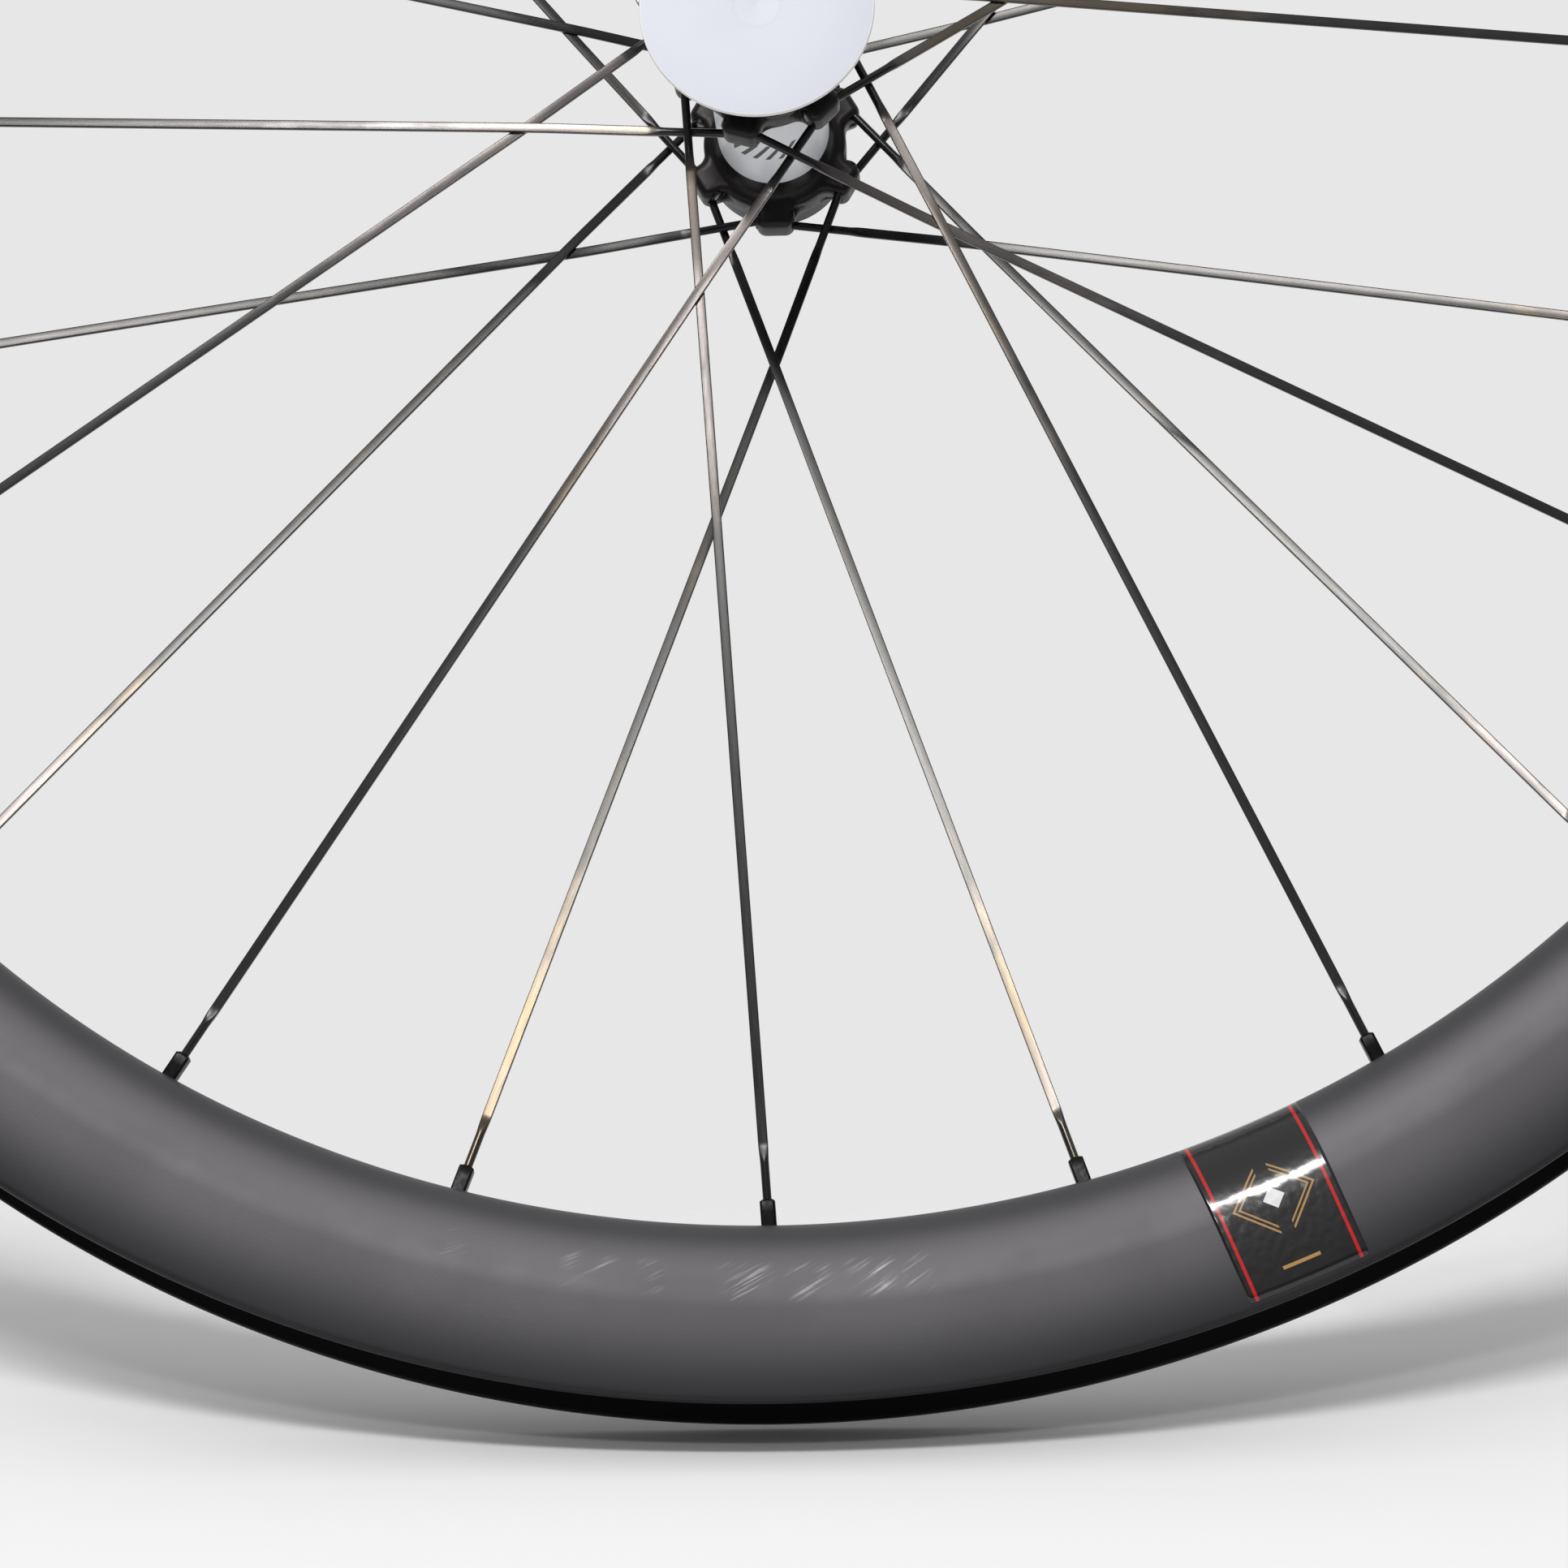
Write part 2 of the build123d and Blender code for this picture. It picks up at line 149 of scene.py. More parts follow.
print("outline helpers ready")

# %% [markdown]
# ## One way to write every finish
# A finish is a small tree of nodes that ends in one Principled shader. Writing each tree out node by node
# hides the idea, so `Finish` gives the few building blocks that this wheel needs: noise, ramps, products
# and bumps. Numbers that are the same all over a surface go straight onto the shader's own sockets.

# %% Building blocks
class Nodes:
    """Building blocks for any tree of nodes."""

    def __init__(self, tree):
        self.tree = tree

    def feed(self, socket, value):
        if isinstance(value, bpy.types.NodeSocket):
            self.tree.links.new(value, socket)
        elif socket.type == "RGBA":
            socket.default_value = (*value, 1)
        else:
            socket.default_value = value

    def node(self, kind, inputs=None, **settings):
        made = self.tree.nodes.new("ShaderNode" + kind)
        for name, value in settings.items():
            setattr(made, name, value)
        for name, value in (inputs or {}).items():
            self.feed(made.inputs[name], value)
        return made

    def math(self, operation, a, b=0.0, c=0.0):
        return self.node("Math", {0: a, 1: b, 2: c}, operation=operation).outputs[0]

    def product(self, first, *others):
        for other in others:
            first = self.math("MULTIPLY", first, other)
        return first

    def share(self, vector, direction):
        """How much of a vector lies along a direction: their dot product."""
        inputs = {0: vector, 1: direction}
        return self.node("VectorMath", inputs, operation="DOT_PRODUCT").outputs["Value"]

    def between(self, value, low, high, to_low=0.0, to_high=1.0):
        """Value carried smoothly from the span low..high to the span to_low..to_high."""
        inputs = {"Value": value, 1: low, 2: high, 3: to_low, 4: to_high}
        return self.node("MapRange", inputs, interpolation_type="SMOOTHSTEP").outputs[0]

    def mix(self, share, first, second):
        return self.node("Mix", {0: share, 6: first, 7: second}, data_type="RGBA").outputs[2]


print("building blocks ready")

# %% From a few words to a finish
class Finish(Nodes):
    """A procedural material: the blocks feed one Principled shader."""

    def __init__(self, name, **plain):
        self.material = bpy.data.materials.new(name)
        self.material.use_nodes = True
        super().__init__(self.material.node_tree)
        self.shader = self.tree.nodes["Principled BSDF"]
        self.place = self.node("TexCoord").outputs["Object"]
        self.set(**plain)

    def set(self, **sockets):
        """Feeds the shader's sockets; base_color stands for Base Color."""
        for name, value in sockets.items():
            title = name.replace("_", " ").title().replace("Ior", "IOR")
            self.feed(self.shader.inputs[title], value)

    def noise(self, scale, detail=3.0, roughness=0.5, place=None):
        inputs = {"Vector": place or self.place, "Scale": scale, "Detail": detail, "Roughness": roughness}
        return self.node("TexNoise", inputs).outputs[0]

    def grain(self, stretch, detail, roughness, turn=(0, 0, 0), place=None):
        """Noise that runs one way: its coordinates are turned first and then stretched."""
        turned_place = self.node("Mapping", {0: place or self.place, "Rotation": turn}).outputs[0]
        drawn_out = self.node("Mapping", {0: turned_place, "Scale": stretch}).outputs[0]
        return self.noise(1.0, detail, roughness, drawn_out)

    def bump(self, height, distance):
        bent = self.node("Bump", {"Height": height, "Distance": distance}).outputs[0]
        self.set(normal=bent, coat_normal=bent)

    def vary(self, shade, first, second, grain, rough, relief):
        """Two base colours mixed by a shade, with a span of roughness and a relief that follow a grain."""
        self.set(base_color=self.mix(shade, first, second))
        self.set(roughness=self.between(grain, 0.3, 0.7, *rough))
        self.bump(grain, relief)

    def parts(self, vector):
        return self.node("SeparateXYZ", {0: vector}).outputs

    def wrap(self):
        """The piece's own UV map, in millimetres along its surface."""
        return self.parts(self.node("UVMap", uv_map="Wrap").outputs[0])

    def polar(self):
        """Angle about the axle, and in millimetres the distance from it and the place along it.

        They are atan2(z, x), sqrt(x^2 + z^2) and y.
        """
        scaled = self.node("VectorMath", {0: self.place, "Scale": 1 / MM}, operation="SCALE")
        x, y, z = self.parts(scaled.outputs[0])
        square = self.math("ADD", self.product(x, x), self.product(z, z))
        return self.math("ARCTAN2", z, x), self.math("SQRT", square), y


print("finish helper ready")

# %% Dressing a piece
def dress(piece, finish, body, slot, *nodes):
    """Puts a finish on a new piece, lets it ride on its body and stand for the solids it replaces."""
    piece.data.materials.clear()
    piece.data.materials.append(finish.material)
    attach(piece, body)
    if nodes:
        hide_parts(*nodes)
    box = (np.array(piece.bound_box) / MM).round(1)
    print(f"{piece.name}: {len(piece.data.polygons)} faces, from {box.min(0)} to {box.max(0)} mm")


print("dressing helper ready")

# %% [markdown]
# ## Where the camera stands
# The photograph was taken with a long lens that looked slightly down at a wheel leaning back. The wheel
# leans further than the camera looks down, so seen from the wheel the camera looks upwards. Guessing by eye
# would drift, so the place and the three turns come from fitting both lips of the rim and eighteen spokes.

# %% Camera
camera_place = (71.15, -1448.17, -593.11)
camera_pitch = 16.264
camera_yaw = 2.683
camera_roll = -0.155
focal_pixels = 8113.06
image_pixels = 1932
sensor_width = 36.0

looking = Euler((radians(90 + camera_pitch), 0, radians(camera_yaw)), "XYZ").to_matrix()
rolled = looking @ Matrix.Rotation(radians(camera_roll), 3, "Z")
camera = bpy.data.objects.new("camera", bpy.data.cameras.new("camera"))
camera.data.sensor_width = sensor_width
camera.data.lens = focal_pixels / image_pixels * sensor_width
camera.data.clip_end = 50
camera.matrix_world = Matrix.Translation(Vector(camera_place) * MM) @ rolled.to_4x4()
bpy.context.scene.collection.objects.link(camera)
bpy.context.scene.camera = camera
print("lens:", round(camera.data.lens, 2), "mm")

# %% [markdown]
# ## The rim
# The rim is one moulded carbon box: a narrow spoke bed, two bulging flanks and a tyre channel between
# two lips. It is a surface of revolution, so its half outline is drawn once in radius and half width,
# mirrored and turned. The flank is one arc that leaves the bed's shoulder in line with it. Sculpting would
# leave wobbles, and a long satin flank shows every one.

# %% Rim flank
rim_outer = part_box("rim")[1].x / MM
rim_depth = 42.2
bed_half = 2.7
shoulder_radius = 6.2
crown_depth = 21.0
crown_half = 14.8
lip_half = 14.0

rim_inner = rim_outer - rim_depth
crown = np.array([rim_outer - crown_depth, crown_half])
shoulder_centre = np.array([rim_inner + shoulder_radius, bed_half])
rise = crown - shoulder_centre
flank_radius = (rise @ rise - shoulder_radius**2) / (2 * (rise[1] - shoulder_radius))
flank_tilt = atan2(rise[0], flank_radius - rise[1])
bend = np.linspace(0, pi / 2 - flank_tilt, 9)
shoulder = shoulder_centre + shoulder_radius * np.stack([-np.cos(bend), np.sin(bend)], axis=1)


def flank(share, inset=0.0):
    """Points on the flank's arc from shoulder (0) to crown (1), set in from its surface.

    At a tilt a from the crown, the point lies at centre + (R - inset) * (-sin a, cos a).
    """
    tilt = flank_tilt * (1 - share)
    outwards = np.stack([-np.sin(tilt), np.cos(tilt)], axis=1)
    return crown - (0, flank_radius) + (flank_radius - inset) * outwards


down = np.linspace(0, 1, 12)[1:-1, None]
fall = crown + (np.array([rim_outer, lip_half]) - crown) * np.concatenate([down, down**2], axis=1)
near_flank = np.concatenate([flank(np.linspace(0, 1, 25))[1:], fall])
print("flank radius:", round(flank_radius, 1), "mm")

# %% [markdown]
# ## The rim's lips and hollow
# Past the flank the outline rounds the lip and steps down into the tyre channel. Each corner's softness is
# the third number of its row. The hollow keeps a wall's thickness from the outside, so it uses the same
# arc, set in.

# %% Rim outlines
lip_inner_half = 10.9
bead_radius = 311.0
well_depth = 3.6
shelf_half = 7.5
well_half = 5.7
lip_steps = 6

well_radius = bead_radius - well_depth
lip_corners = [
    (*fall[-1], 0.01),
    (rim_outer, lip_half, 1.2),
    (rim_outer, lip_inner_half, 0.6),
    (bead_radius, lip_inner_half, 0.8),
    (bead_radius, shelf_half, 0.8),
    (well_radius, well_half, 0.9),
    (well_radius, 1.0, 0.01),
]
lip = rounded(lip_corners, lip_steps)
side = np.concatenate([shoulder, near_flank[:-1], lip[lip_steps - 1 : -1]])
rim_outline = np.concatenate([side, (side * (1, -1))[::-1]])

flank_wall = 1.3
channel_wall = 1.7
lip_wall = 2.15
shelf_wall = 0.85
cavity_floor = 277.65
cavity_floor_half = 4.1
cavity_corner = bead_radius - channel_wall
cavity_side = np.concatenate([
    [(cavity_floor, cavity_floor_half)],
    flank(np.linspace(0.25, 1, 8), flank_wall),
    [(cavity_corner, lip_half - lip_wall), (cavity_corner, shelf_half + shelf_wall)],
    [(well_radius - channel_wall, well_half)],
])
cavity_outline = np.concatenate([cavity_side, (cavity_side * (1, -1))[::-1]])
print("outline points:", len(rim_outline), "outside,", len(cavity_outline), "inside")

# %% [markdown]
# ## How the spokes run
# Each spoke is straight in the plane of the wheel and touches a circle of radius 18.9 mm about the axle.
# Two leave every lobe, one each way round, and each crosses two others on its way out. Next to the hub one
# passes outside its partner, further out inside it, which locks the pair. All twenty-four lines are worked
# out together, as arrays with one row for each spoke.

# %% Lacing
spoke_count = 24
side_count = 12
lobes = 6
lace_radius = 18.9
nipple_seat = 278.0
lace_span = 75.0
near_first_lobe, far_first_lobe = -105.0, -90.0
flange_offset = np.repeat([23.3, 33.9], side_count)

spoke_side = np.repeat([-1, 1], side_count)
spoke_turn = np.tile([1, -1], side_count)
lobe_number = np.tile(np.repeat(np.arange(lobes), 2), 2)
spoke_names = [f"{word}_spoke_{k + 1:02d}" for word in ("near", "far") for k in range(side_count)]
tangent_angle = degrees(acos(lace_radius / nipple_seat))
seat_distance = sqrt(nipple_seat**2 - lace_radius**2)
first_lobe = np.repeat([near_first_lobe, far_first_lobe], side_count)
nipple_angle = first_lobe + lobe_number * 360 / lobes + spoke_turn * lace_span
touch_angle = np.radians(nipple_angle - spoke_turn * tangent_angle)
nothing = np.zeros(spoke_count)
spoke_out = np.stack([np.cos(touch_angle), nothing, np.sin(touch_angle)], axis=1)
onwards = np.stack([-np.sin(touch_angle), nothing, np.cos(touch_angle)], axis=1)
spoke_along = onwards * spoke_turn[:, None]
print("spokes:", spoke_count, "seat distance:", round(seat_distance, 2), "mm")

# %% [markdown]
# ## How the spokes weave
# At a crossing two spokes lie side by side with a hair of room between them, so each leaves the straight
# slant from flange to rim by half its thickness. The way sideways is one function of the distance from the
# hub, and every section of wire, nipple or drill is carried along it.

# %% Weave
wire_radius = 1.0
blade_half_width = 1.125
blade_half_thickness = 0.475
weave_clearance = 0.06
bend_softness = 3.0
solid_facets = 8

partner_angles = [tangent_angle - lace_span + step * 180 / lobes for step in (1, 2)]
inner_crossing, outer_crossing = (lace_radius * tan(radians(angle)) for angle in partner_angles)
weave_point = outer_crossing - 4 * blade_half_width
inner_weave = wire_radius / cos(pi / solid_facets) + weave_clearance
outer_weave = blade_half_thickness + weave_clearance
weave_drop = (inner_weave + outer_weave) / (weave_point - inner_crossing)
hub_weave = inner_weave + weave_drop * inner_crossing


def sideways(distance):
    """Each spoke's y along its length: a straight slant to the rim's middle plus the weave.

    The weave falls at one slope before the bend and rises at another after it, and the root
    sqrt(x^2 + s^2) rounds the bend over a softness s.
    """
    falling = -(hub_weave + outer_weave) / weave_point
    rising = outer_weave / (seat_distance - weave_point)
    past = distance - weave_point
    after_bend = (past + np.sqrt(past**2 + bend_softness**2)) / 2
    weave = hub_weave + falling * distance + (rising - falling) * after_bend
    slant = flange_offset[:, None] * (1 - distance / seat_distance)
    return spoke_side[:, None] * (slant + spoke_turn[:, None] * weave)


print("crossings:", round(inner_crossing, 1), "and", round(outer_crossing, 1), "mm along the spoke")

# %% Sections along the spokes
def along_spokes(distance, half_width, half_thickness, squareness, columns, twist=0.0):
    """Sections carried along all the spokes, as (spokes, rows, columns, 3) points.

    A section is a superellipse: x = w |cos a|^(2/n), y = t |sin a|^(2/n), each with its sign, where a
    squareness n of 2 is round and a larger one is boxier. It stands square to the spoke's own slope.
    """
    sizes = np.broadcast_arrays(distance, half_width, half_thickness, squareness)
    distance, half_width, half_thickness, squareness = sizes
    step = 0.01
    slope = (sideways(distance + step) - sideways(distance - step)) / (2 * step)
    up = np.array([0.0, 1.0, 0.0])
    in_plane = spoke_out[:, None] * lace_radius + spoke_along[:, None] * distance[:, None]
    centre = in_plane + up * sideways(distance)[..., None]
    heading = unit(spoke_along[:, None] + up * slope[..., None])
    beside = np.cross(heading, np.broadcast_to(spoke_out[:, None], heading.shape))
    angle = np.linspace(0, 2 * pi, columns, endpoint=False)
    power = (2 / squareness)[:, None]
    x = half_width[:, None] * np.sign(np.cos(angle)) * np.abs(np.cos(angle)) ** power
    t = half_thickness[:, None] * np.sign(np.sin(angle)) * np.abs(np.sin(angle)) ** power
    twist = np.broadcast_to(twist, (spoke_count, len(distance)))[..., None]
    across = (x * np.cos(twist) - t * np.sin(twist))[..., None]
    through = (x * np.sin(twist) + t * np.cos(twist))[..., None]
    return centre[:, :, None] + across * spoke_out[:, None, None] + through * beside[:, :, None]


print("section helper ready")

# %% [markdown]
# ## The rim's skin
# The turned outline makes the outside, the same outline a wall's thickness in makes the hollow, and pins
# along the spokes and by the valve make the holes. Real rims are drilled after moulding in the same order.

# %% Rim mesh
rim_columns = 480
valve_angle = radians(97.5)
valve_radius = 3.25
nipple_hole_half = 1.87
nipple_hole_square = 7.0
nipple_stand = 6.6
nipple_cone = 1.05
drill_overrun, valve_overrun = 3.0, 5.0

rim = skin("carbon_rim", turned(rim_outline, rim_columns), closed_rows=True)
cut_out(rim, skin("hollow", turned(cavity_outline, rim_columns), closed_rows=True))
nipple_top = nipple_seat - rim_inner + nipple_stand
drill = np.array([seat_distance - nipple_top - drill_overrun, seat_distance + 2 * nipple_cone])
drills = along_spokes(drill, nipple_hole_half, nipple_hole_half, nipple_hole_square, columns=24)
cut_out(rim, skin("nipple_drills", drills, caps=True))
around = np.linspace(0, 2 * pi, 32, endpoint=False)
valve_way = np.array([cos(valve_angle), 0, sin(valve_angle)])
valve_beside = np.array([-sin(valve_angle), 0, cos(valve_angle)])
valve_ring = np.outer(np.cos(around), valve_beside) + np.outer(np.sin(around), [0, 1, 0])
valve_reach = np.array([rim_inner - valve_overrun, rim_outer])[:, None, None]
valve_drill = valve_reach * valve_way + valve_radius * valve_ring
cut_out(rim, skin("valve_drill", valve_drill, caps=True))
print("rim faces:", len(rim.data.polygons))

# %% [markdown]
# ## Scuffs on the near flank
# The near flank has been scuffed: short pale strokes, all leaning one way, in a belt along its middle.
# Painting them would need an image, so noise stretched along the stroke is cut off at a level, and the belt
# is a window in angle and radius.

# %% Scuffs
scuff_lean = (0, 0, radians(31))
scuff_inner = (284.0, 286.8)
scuff_outer = (291.5, 295.0)
scuff_side = (-10.0, -6.0)
unrolling_radius = 290.0
cluster_core = 0.2
middle_half_strength = (
    (-104.0, 0.8, 0.35),
    (-98.0, 1.5, 0.55),
    (-95.2, 0.8, 0.45),
    (-91.0, 1.6, 0.60),
    (-88.2, 1.3, 0.65),
    (-85.4, 1.4, 1.00),
    (-83.4, 0.9, 0.70),
)

carbon = Finish("satin_carbon", specular_tint=(0.99, 0.955, 1.0))
angle, radius, y = carbon.polar()
arc = carbon.math("MULTIPLY", angle, unrolling_radius)
unrolled = carbon.node("CombineXYZ", {0: arc, 1: radius}).outputs[0]
strokes = carbon.grain((0.07, 1.3, 1), 4.0, 0.65, scuff_lean, unrolled)
patches = carbon.grain((0.06, 0.33, 1), 1.0, 0.5, scuff_lean, unrolled)
clusters = 0.0
for middle, half, strength in middle_half_strength:
    away = carbon.math("ABSOLUTE", carbon.math("SUBTRACT", angle, radians(middle)))
    cluster = carbon.between(away, cluster_core * radians(half), radians(half), strength, 0.0)
    clusters = carbon.math("MAXIMUM", clusters, cluster)
scuffs = carbon.product(
    clusters,
    carbon.between(radius, *scuff_inner),
    carbon.between(radius, *scuff_outer, 1.0, 0.0),
    carbon.between(y, *scuff_side, 1.0, 0.0),
    carbon.between(patches, 0.42, 0.66),
    carbon.between(strokes, 0.46, 0.66),
)
print("scuff clusters:", len(middle_half_strength))

# %% [markdown]
# ## The rim's finish
# Bare carbon under a satin clear coat is nearly black, and its grey comes from the lamps it blurs. So the
# base stays dark, slightly cloudy from the fibre under the coat, and the roughness carries the look. The
# strength of the coat's reflection is painted by radius: a painted highlight in a belt beside the spoke bed,
# painted shade towards the lip and in the tyre channel, whose base colour is painted darker as shade too.

# %% Satin carbon
# Radii of the painted highlight belt and of the painted shade by the lip and in the tyre channel.
bed_edge, belt_middle, belt_edge = 277.5, 283.0, 291.0
lip_shade_span = (297.0, 318.0)
channel_start = (304.0, 304.5)
channel_side = (13.3, 13.7)

clouds = carbon.noise(28, 4.0, 0.6)
fibres = carbon.grain((0.5, 9.0, 1), 2.0, 0.5, place=unrolled)
between_lips = carbon.between(carbon.math("ABSOLUTE", y), *channel_side, 1.0, 0.0)
# Painted shade: the tyre channel's base colour is painted darker and its reflection weaker.
channel_shade = carbon.product(carbon.between(radius, *channel_start), between_lips)
base = carbon.mix(clouds, (0.013, 0.0125, 0.0145), (0.021, 0.020, 0.0225))
base = carbon.mix(channel_shade, base, (0.006, 0.006, 0.0065))
carbon.set(base_color=carbon.mix(scuffs, base, (0.52, 0.52, 0.53)))
# Painted highlight and shade: reflection raised in a belt beside the spoke bed, lowered towards the lip and
# in the channel.
highlight_belt = carbon.product(
    carbon.between(radius, bed_edge, belt_middle, 0.90, 1.65),
    carbon.between(radius, belt_middle, belt_edge, 1.0, 0.53),
    carbon.between(radius, *lip_shade_span, 1.0, 0.20),
    carbon.between(channel_shade, 0.0, 1.0, 1.0, 0.6),
)
carbon.set(specular_ior_level=highlight_belt)
blur = carbon.math("MULTIPLY_ADD", fibres, 0.02, carbon.between(clouds, 0.3, 0.7, 0.47, 0.52))
carbon.set(roughness=carbon.math("MULTIPLY_ADD", scuffs, 0.2, blur))
carbon.bump(carbon.math("MULTIPLY_ADD", scuffs, -0.8, carbon.noise(1600, 2.0)), 0.00001)
dress(rim, carbon, "wheel", "carbon_rim", "rim")

# %% [markdown]
# ## The sticker on the flank
# One glossy film is stuck on the near flank, from the spoke bed to the lip. It is a patch of the rim's own
# outline, lifted by about a tenth of a millimetre and given a little thickness. On it u runs straight across
# and v along the outline from the bed to the lip, both in millimetres.

# %% Sticker mesh
film_middle = radians(-67.5)
film_half = 14.45
film_lift = 0.09
film_thickness = 0.144

film_rows = np.concatenate([shoulder[4:], near_flank])
film_steps = np.linalg.norm(np.diff(film_rows, axis=0), axis=1)
film_v = np.concatenate([[0], np.cumsum(film_steps)])
film_u = np.linspace(-film_half, film_half, 41)
film_slope = np.gradient(film_rows, film_v, axis=0)
film_out = unit(np.stack([-film_slope[:, 1], film_slope[:, 0]], axis=1))
film_outline = film_rows + film_out * film_lift
film_reach = np.sqrt(film_outline[:, :1] ** 2 - film_u**2)
film_x = film_reach * cos(film_middle) - film_u * sin(film_middle)
film_y = np.repeat(-film_outline[:, 1:], len(film_u), axis=1)
film_z = film_reach * sin(film_middle) + film_u * cos(film_middle)
film_grid = np.stack([film_x, film_y, film_z], axis=-1)
sticker = skin("rim_sticker", film_grid, closed_columns=False, uv=(film_u, film_v))
wall = sticker.modifiers.new("thickness", "SOLIDIFY")
wall.thickness = film_thickness * MM
print("film:", round(2 * film_half, 1), "by", round(film_v[-1], 1), "mm")

# %% [markdown]
# ## The sticker's finish
# The film is black with a red line by each end and a plain gold and white mark in its middle, under a clear
# gloss that shows the lamp as a white streak. An image could hold the marks, but they are simple distances
# on the film: a line is where |u| is near one value, and a diamond is where |u| + |v| is.

# %% Glossy film
line_inset, line_half = 1.85, 0.38
mark_height = 22.5
diamond_lines = ((9.6, 0.32), (8.2, 0.28))
diamond_gap = 1.6
white_diamond = 2.6
bar_drop, bar_half_length, bar_half = 15.5, 4.5, 0.4

film = Finish("glossy_film", specular_ior_level=0.06)
film.set(coat_weight=1.0, coat_roughness=0.13, coat_ior=1.56)
u, v, _ = film.wrap()
from_middle = film.math("ABSOLUTE", u)
from_mark = film.math("SUBTRACT", v, mark_height)
diamond = film.math("ADD", from_middle, film.math("ABSOLUTE", from_mark))
red_line = film.math("COMPARE", from_middle, film_half - line_inset, line_half)
outer, inner = (film.math("COMPARE", diamond, *line) for line in diamond_lines)
open_ends = film.math("GREATER_THAN", from_middle, diamond_gap)
gold_lines = film.product(film.math("MAXIMUM", outer, inner), open_ends)
bar_length = film.math("LESS_THAN", from_middle, bar_half_length)
gold_bar = film.product(bar_length, film.math("COMPARE", from_mark, bar_drop, bar_half))
gold = film.math("MAXIMUM", gold_lines, gold_bar)
white = film.math("LESS_THAN", diamond, white_diamond)
dust = film.noise(700, 4.0, 0.7)
ground = film.mix(dust, (0.0030, 0.0027, 0.0031), (0.0050, 0.0046, 0.0052))
ground = film.mix(gold, ground, (0.42, 0.235, 0.075))
ground = film.mix(white, ground, (0.75, 0.75, 0.76))
film.set(base_color=film.mix(red_line, ground, (0.50, 0.0015, 0.0025)))
film.set(roughness=film.between(dust, 0.35, 0.75, 0.32, 0.40))
film.bump(film.noise(520, 0.5, 0.45), 0.000045)
dress(sticker, film, "wheel", "carbon_rim")

# %% [markdown]
# ## The spokes
# A spoke starts as round black wire. A head is formed at the hub end, a thread is rolled at the rim end,
# and the length between is pressed to a blade of 2.25 by 0.95 mm. So the section is a superellipse that
# eases from round to boxy over 5 mm. A spoke winds up by a degree or two when its nipple is tightened, so
# the blades also twist a little, each by its own amount.

# %% Spoke sections
def ease(value):
    """Smooth step from 0 to 1: 3t^2 - 2t^3."""
    t = np.clip(value, 0, 1)
    return t * t * (3 - 2 * t)


lobe_width = 9.2
head_length = 2.4
head_radius = 1.8
hub_round_length = 13.5
rim_round_length = 8.0
blade_taper = 5.0
bend_reach = 20.0
round_square, blade_square = 2.0, 11.0

lobe_lean = radians(tangent_angle - lace_span)
lobe_middle = lace_radius * sin(lobe_lean)
lobe_entry = (lobe_middle - lobe_width / 2) / cos(lobe_lean)
lobe_exit = (lobe_middle + lobe_width / 2) / cos(lobe_lean)
head_seat = lobe_entry + head_length
blade_start = lobe_exit + hub_round_length
blade_end = seat_distance - nipple_top - rim_round_length
wire_end = seat_distance + nipple_cone
flat_start, flat_end = blade_start + blade_taper, blade_end - blade_taper

head_rows = lobe_entry + np.array([0.0, 0.06, 0.25, 2.1, 2.3])
head_size = head_radius - np.array([0.6, 0.3, 0.0, 0.0, 0.5])
stops = (head_seat, blade_start, flat_start, weave_point + bend_reach, flat_end, blade_end, wire_end)
stop_rows = (0, 7, 14, 27, 40, 47, 51)
wire_rows = np.interp(np.arange(stop_rows[-1] + 1), stop_rows, stops)
spoke_rows = np.concatenate([head_rows, wire_rows])
flat = ease((spoke_rows - blade_start) / blade_taper) * ease((blade_end - spoke_rows) / blade_taper)
spoke_width = wire_radius + flat * (blade_half_width - wire_radius)
spoke_thickness = wire_radius + flat * (blade_half_thickness - wire_radius)
spoke_square = round_square + flat * (blade_square - round_square)
spoke_width[: len(head_size)] = head_size
spoke_thickness[: len(head_size)] = head_size
print("blade from", round(blade_start, 1), "to", round(blade_end, 1), "mm along the spoke")

# %% Spoke grids
spoke_columns = 24
blade_girth = 6.5
wind_up_mean, wind_up_spread, wind_up_step = 1.9, 0.6, 2.4
wind_up_start, wind_up_length = 20.0, 230.0

variety = np.sin(wind_up_step * np.arange(spoke_count))
own_twist = np.radians(wind_up_mean + wind_up_spread * variety)
wind_up = own_twist[:, None] * ease((spoke_rows - wind_up_start) / wind_up_length)
spoke_grid = along_spokes(spoke_rows, spoke_width, spoke_thickness, spoke_square, spoke_columns, wind_up)
around_spoke = np.linspace(0, blade_girth, spoke_columns + 1)
print("spokes, rows, columns:", spoke_grid.shape[:3])

# %% [markdown]
# ## The spokes' finish
# Black oxide is a thin skin grown on the steel, not paint. It reads black where it faces the dark room, and
# bronze where a lamp catches it. A metal shader would mirror the room too strongly. So the shader is dark
# and smooth, and only the strength and tint of its reflections wander along the wire, from near white to
# bronze and rose, in blotches at random. Where the lamp's reflection falls, a painted sheen lightens the
# colour and strengthens the bronze reflection: on the near blades by the hub and on the far ones by the
# rim. A painted shade dims the far blades' reflections by the hub.

# %% Black oxide steel
# Spans along the spoke of the painted sheen, and of the painted shade at the far blades' hub ends.
near_sheen_span = (50, 150)
far_sheen_span = (150, 250)
far_hub_shade_span = (45, 80)

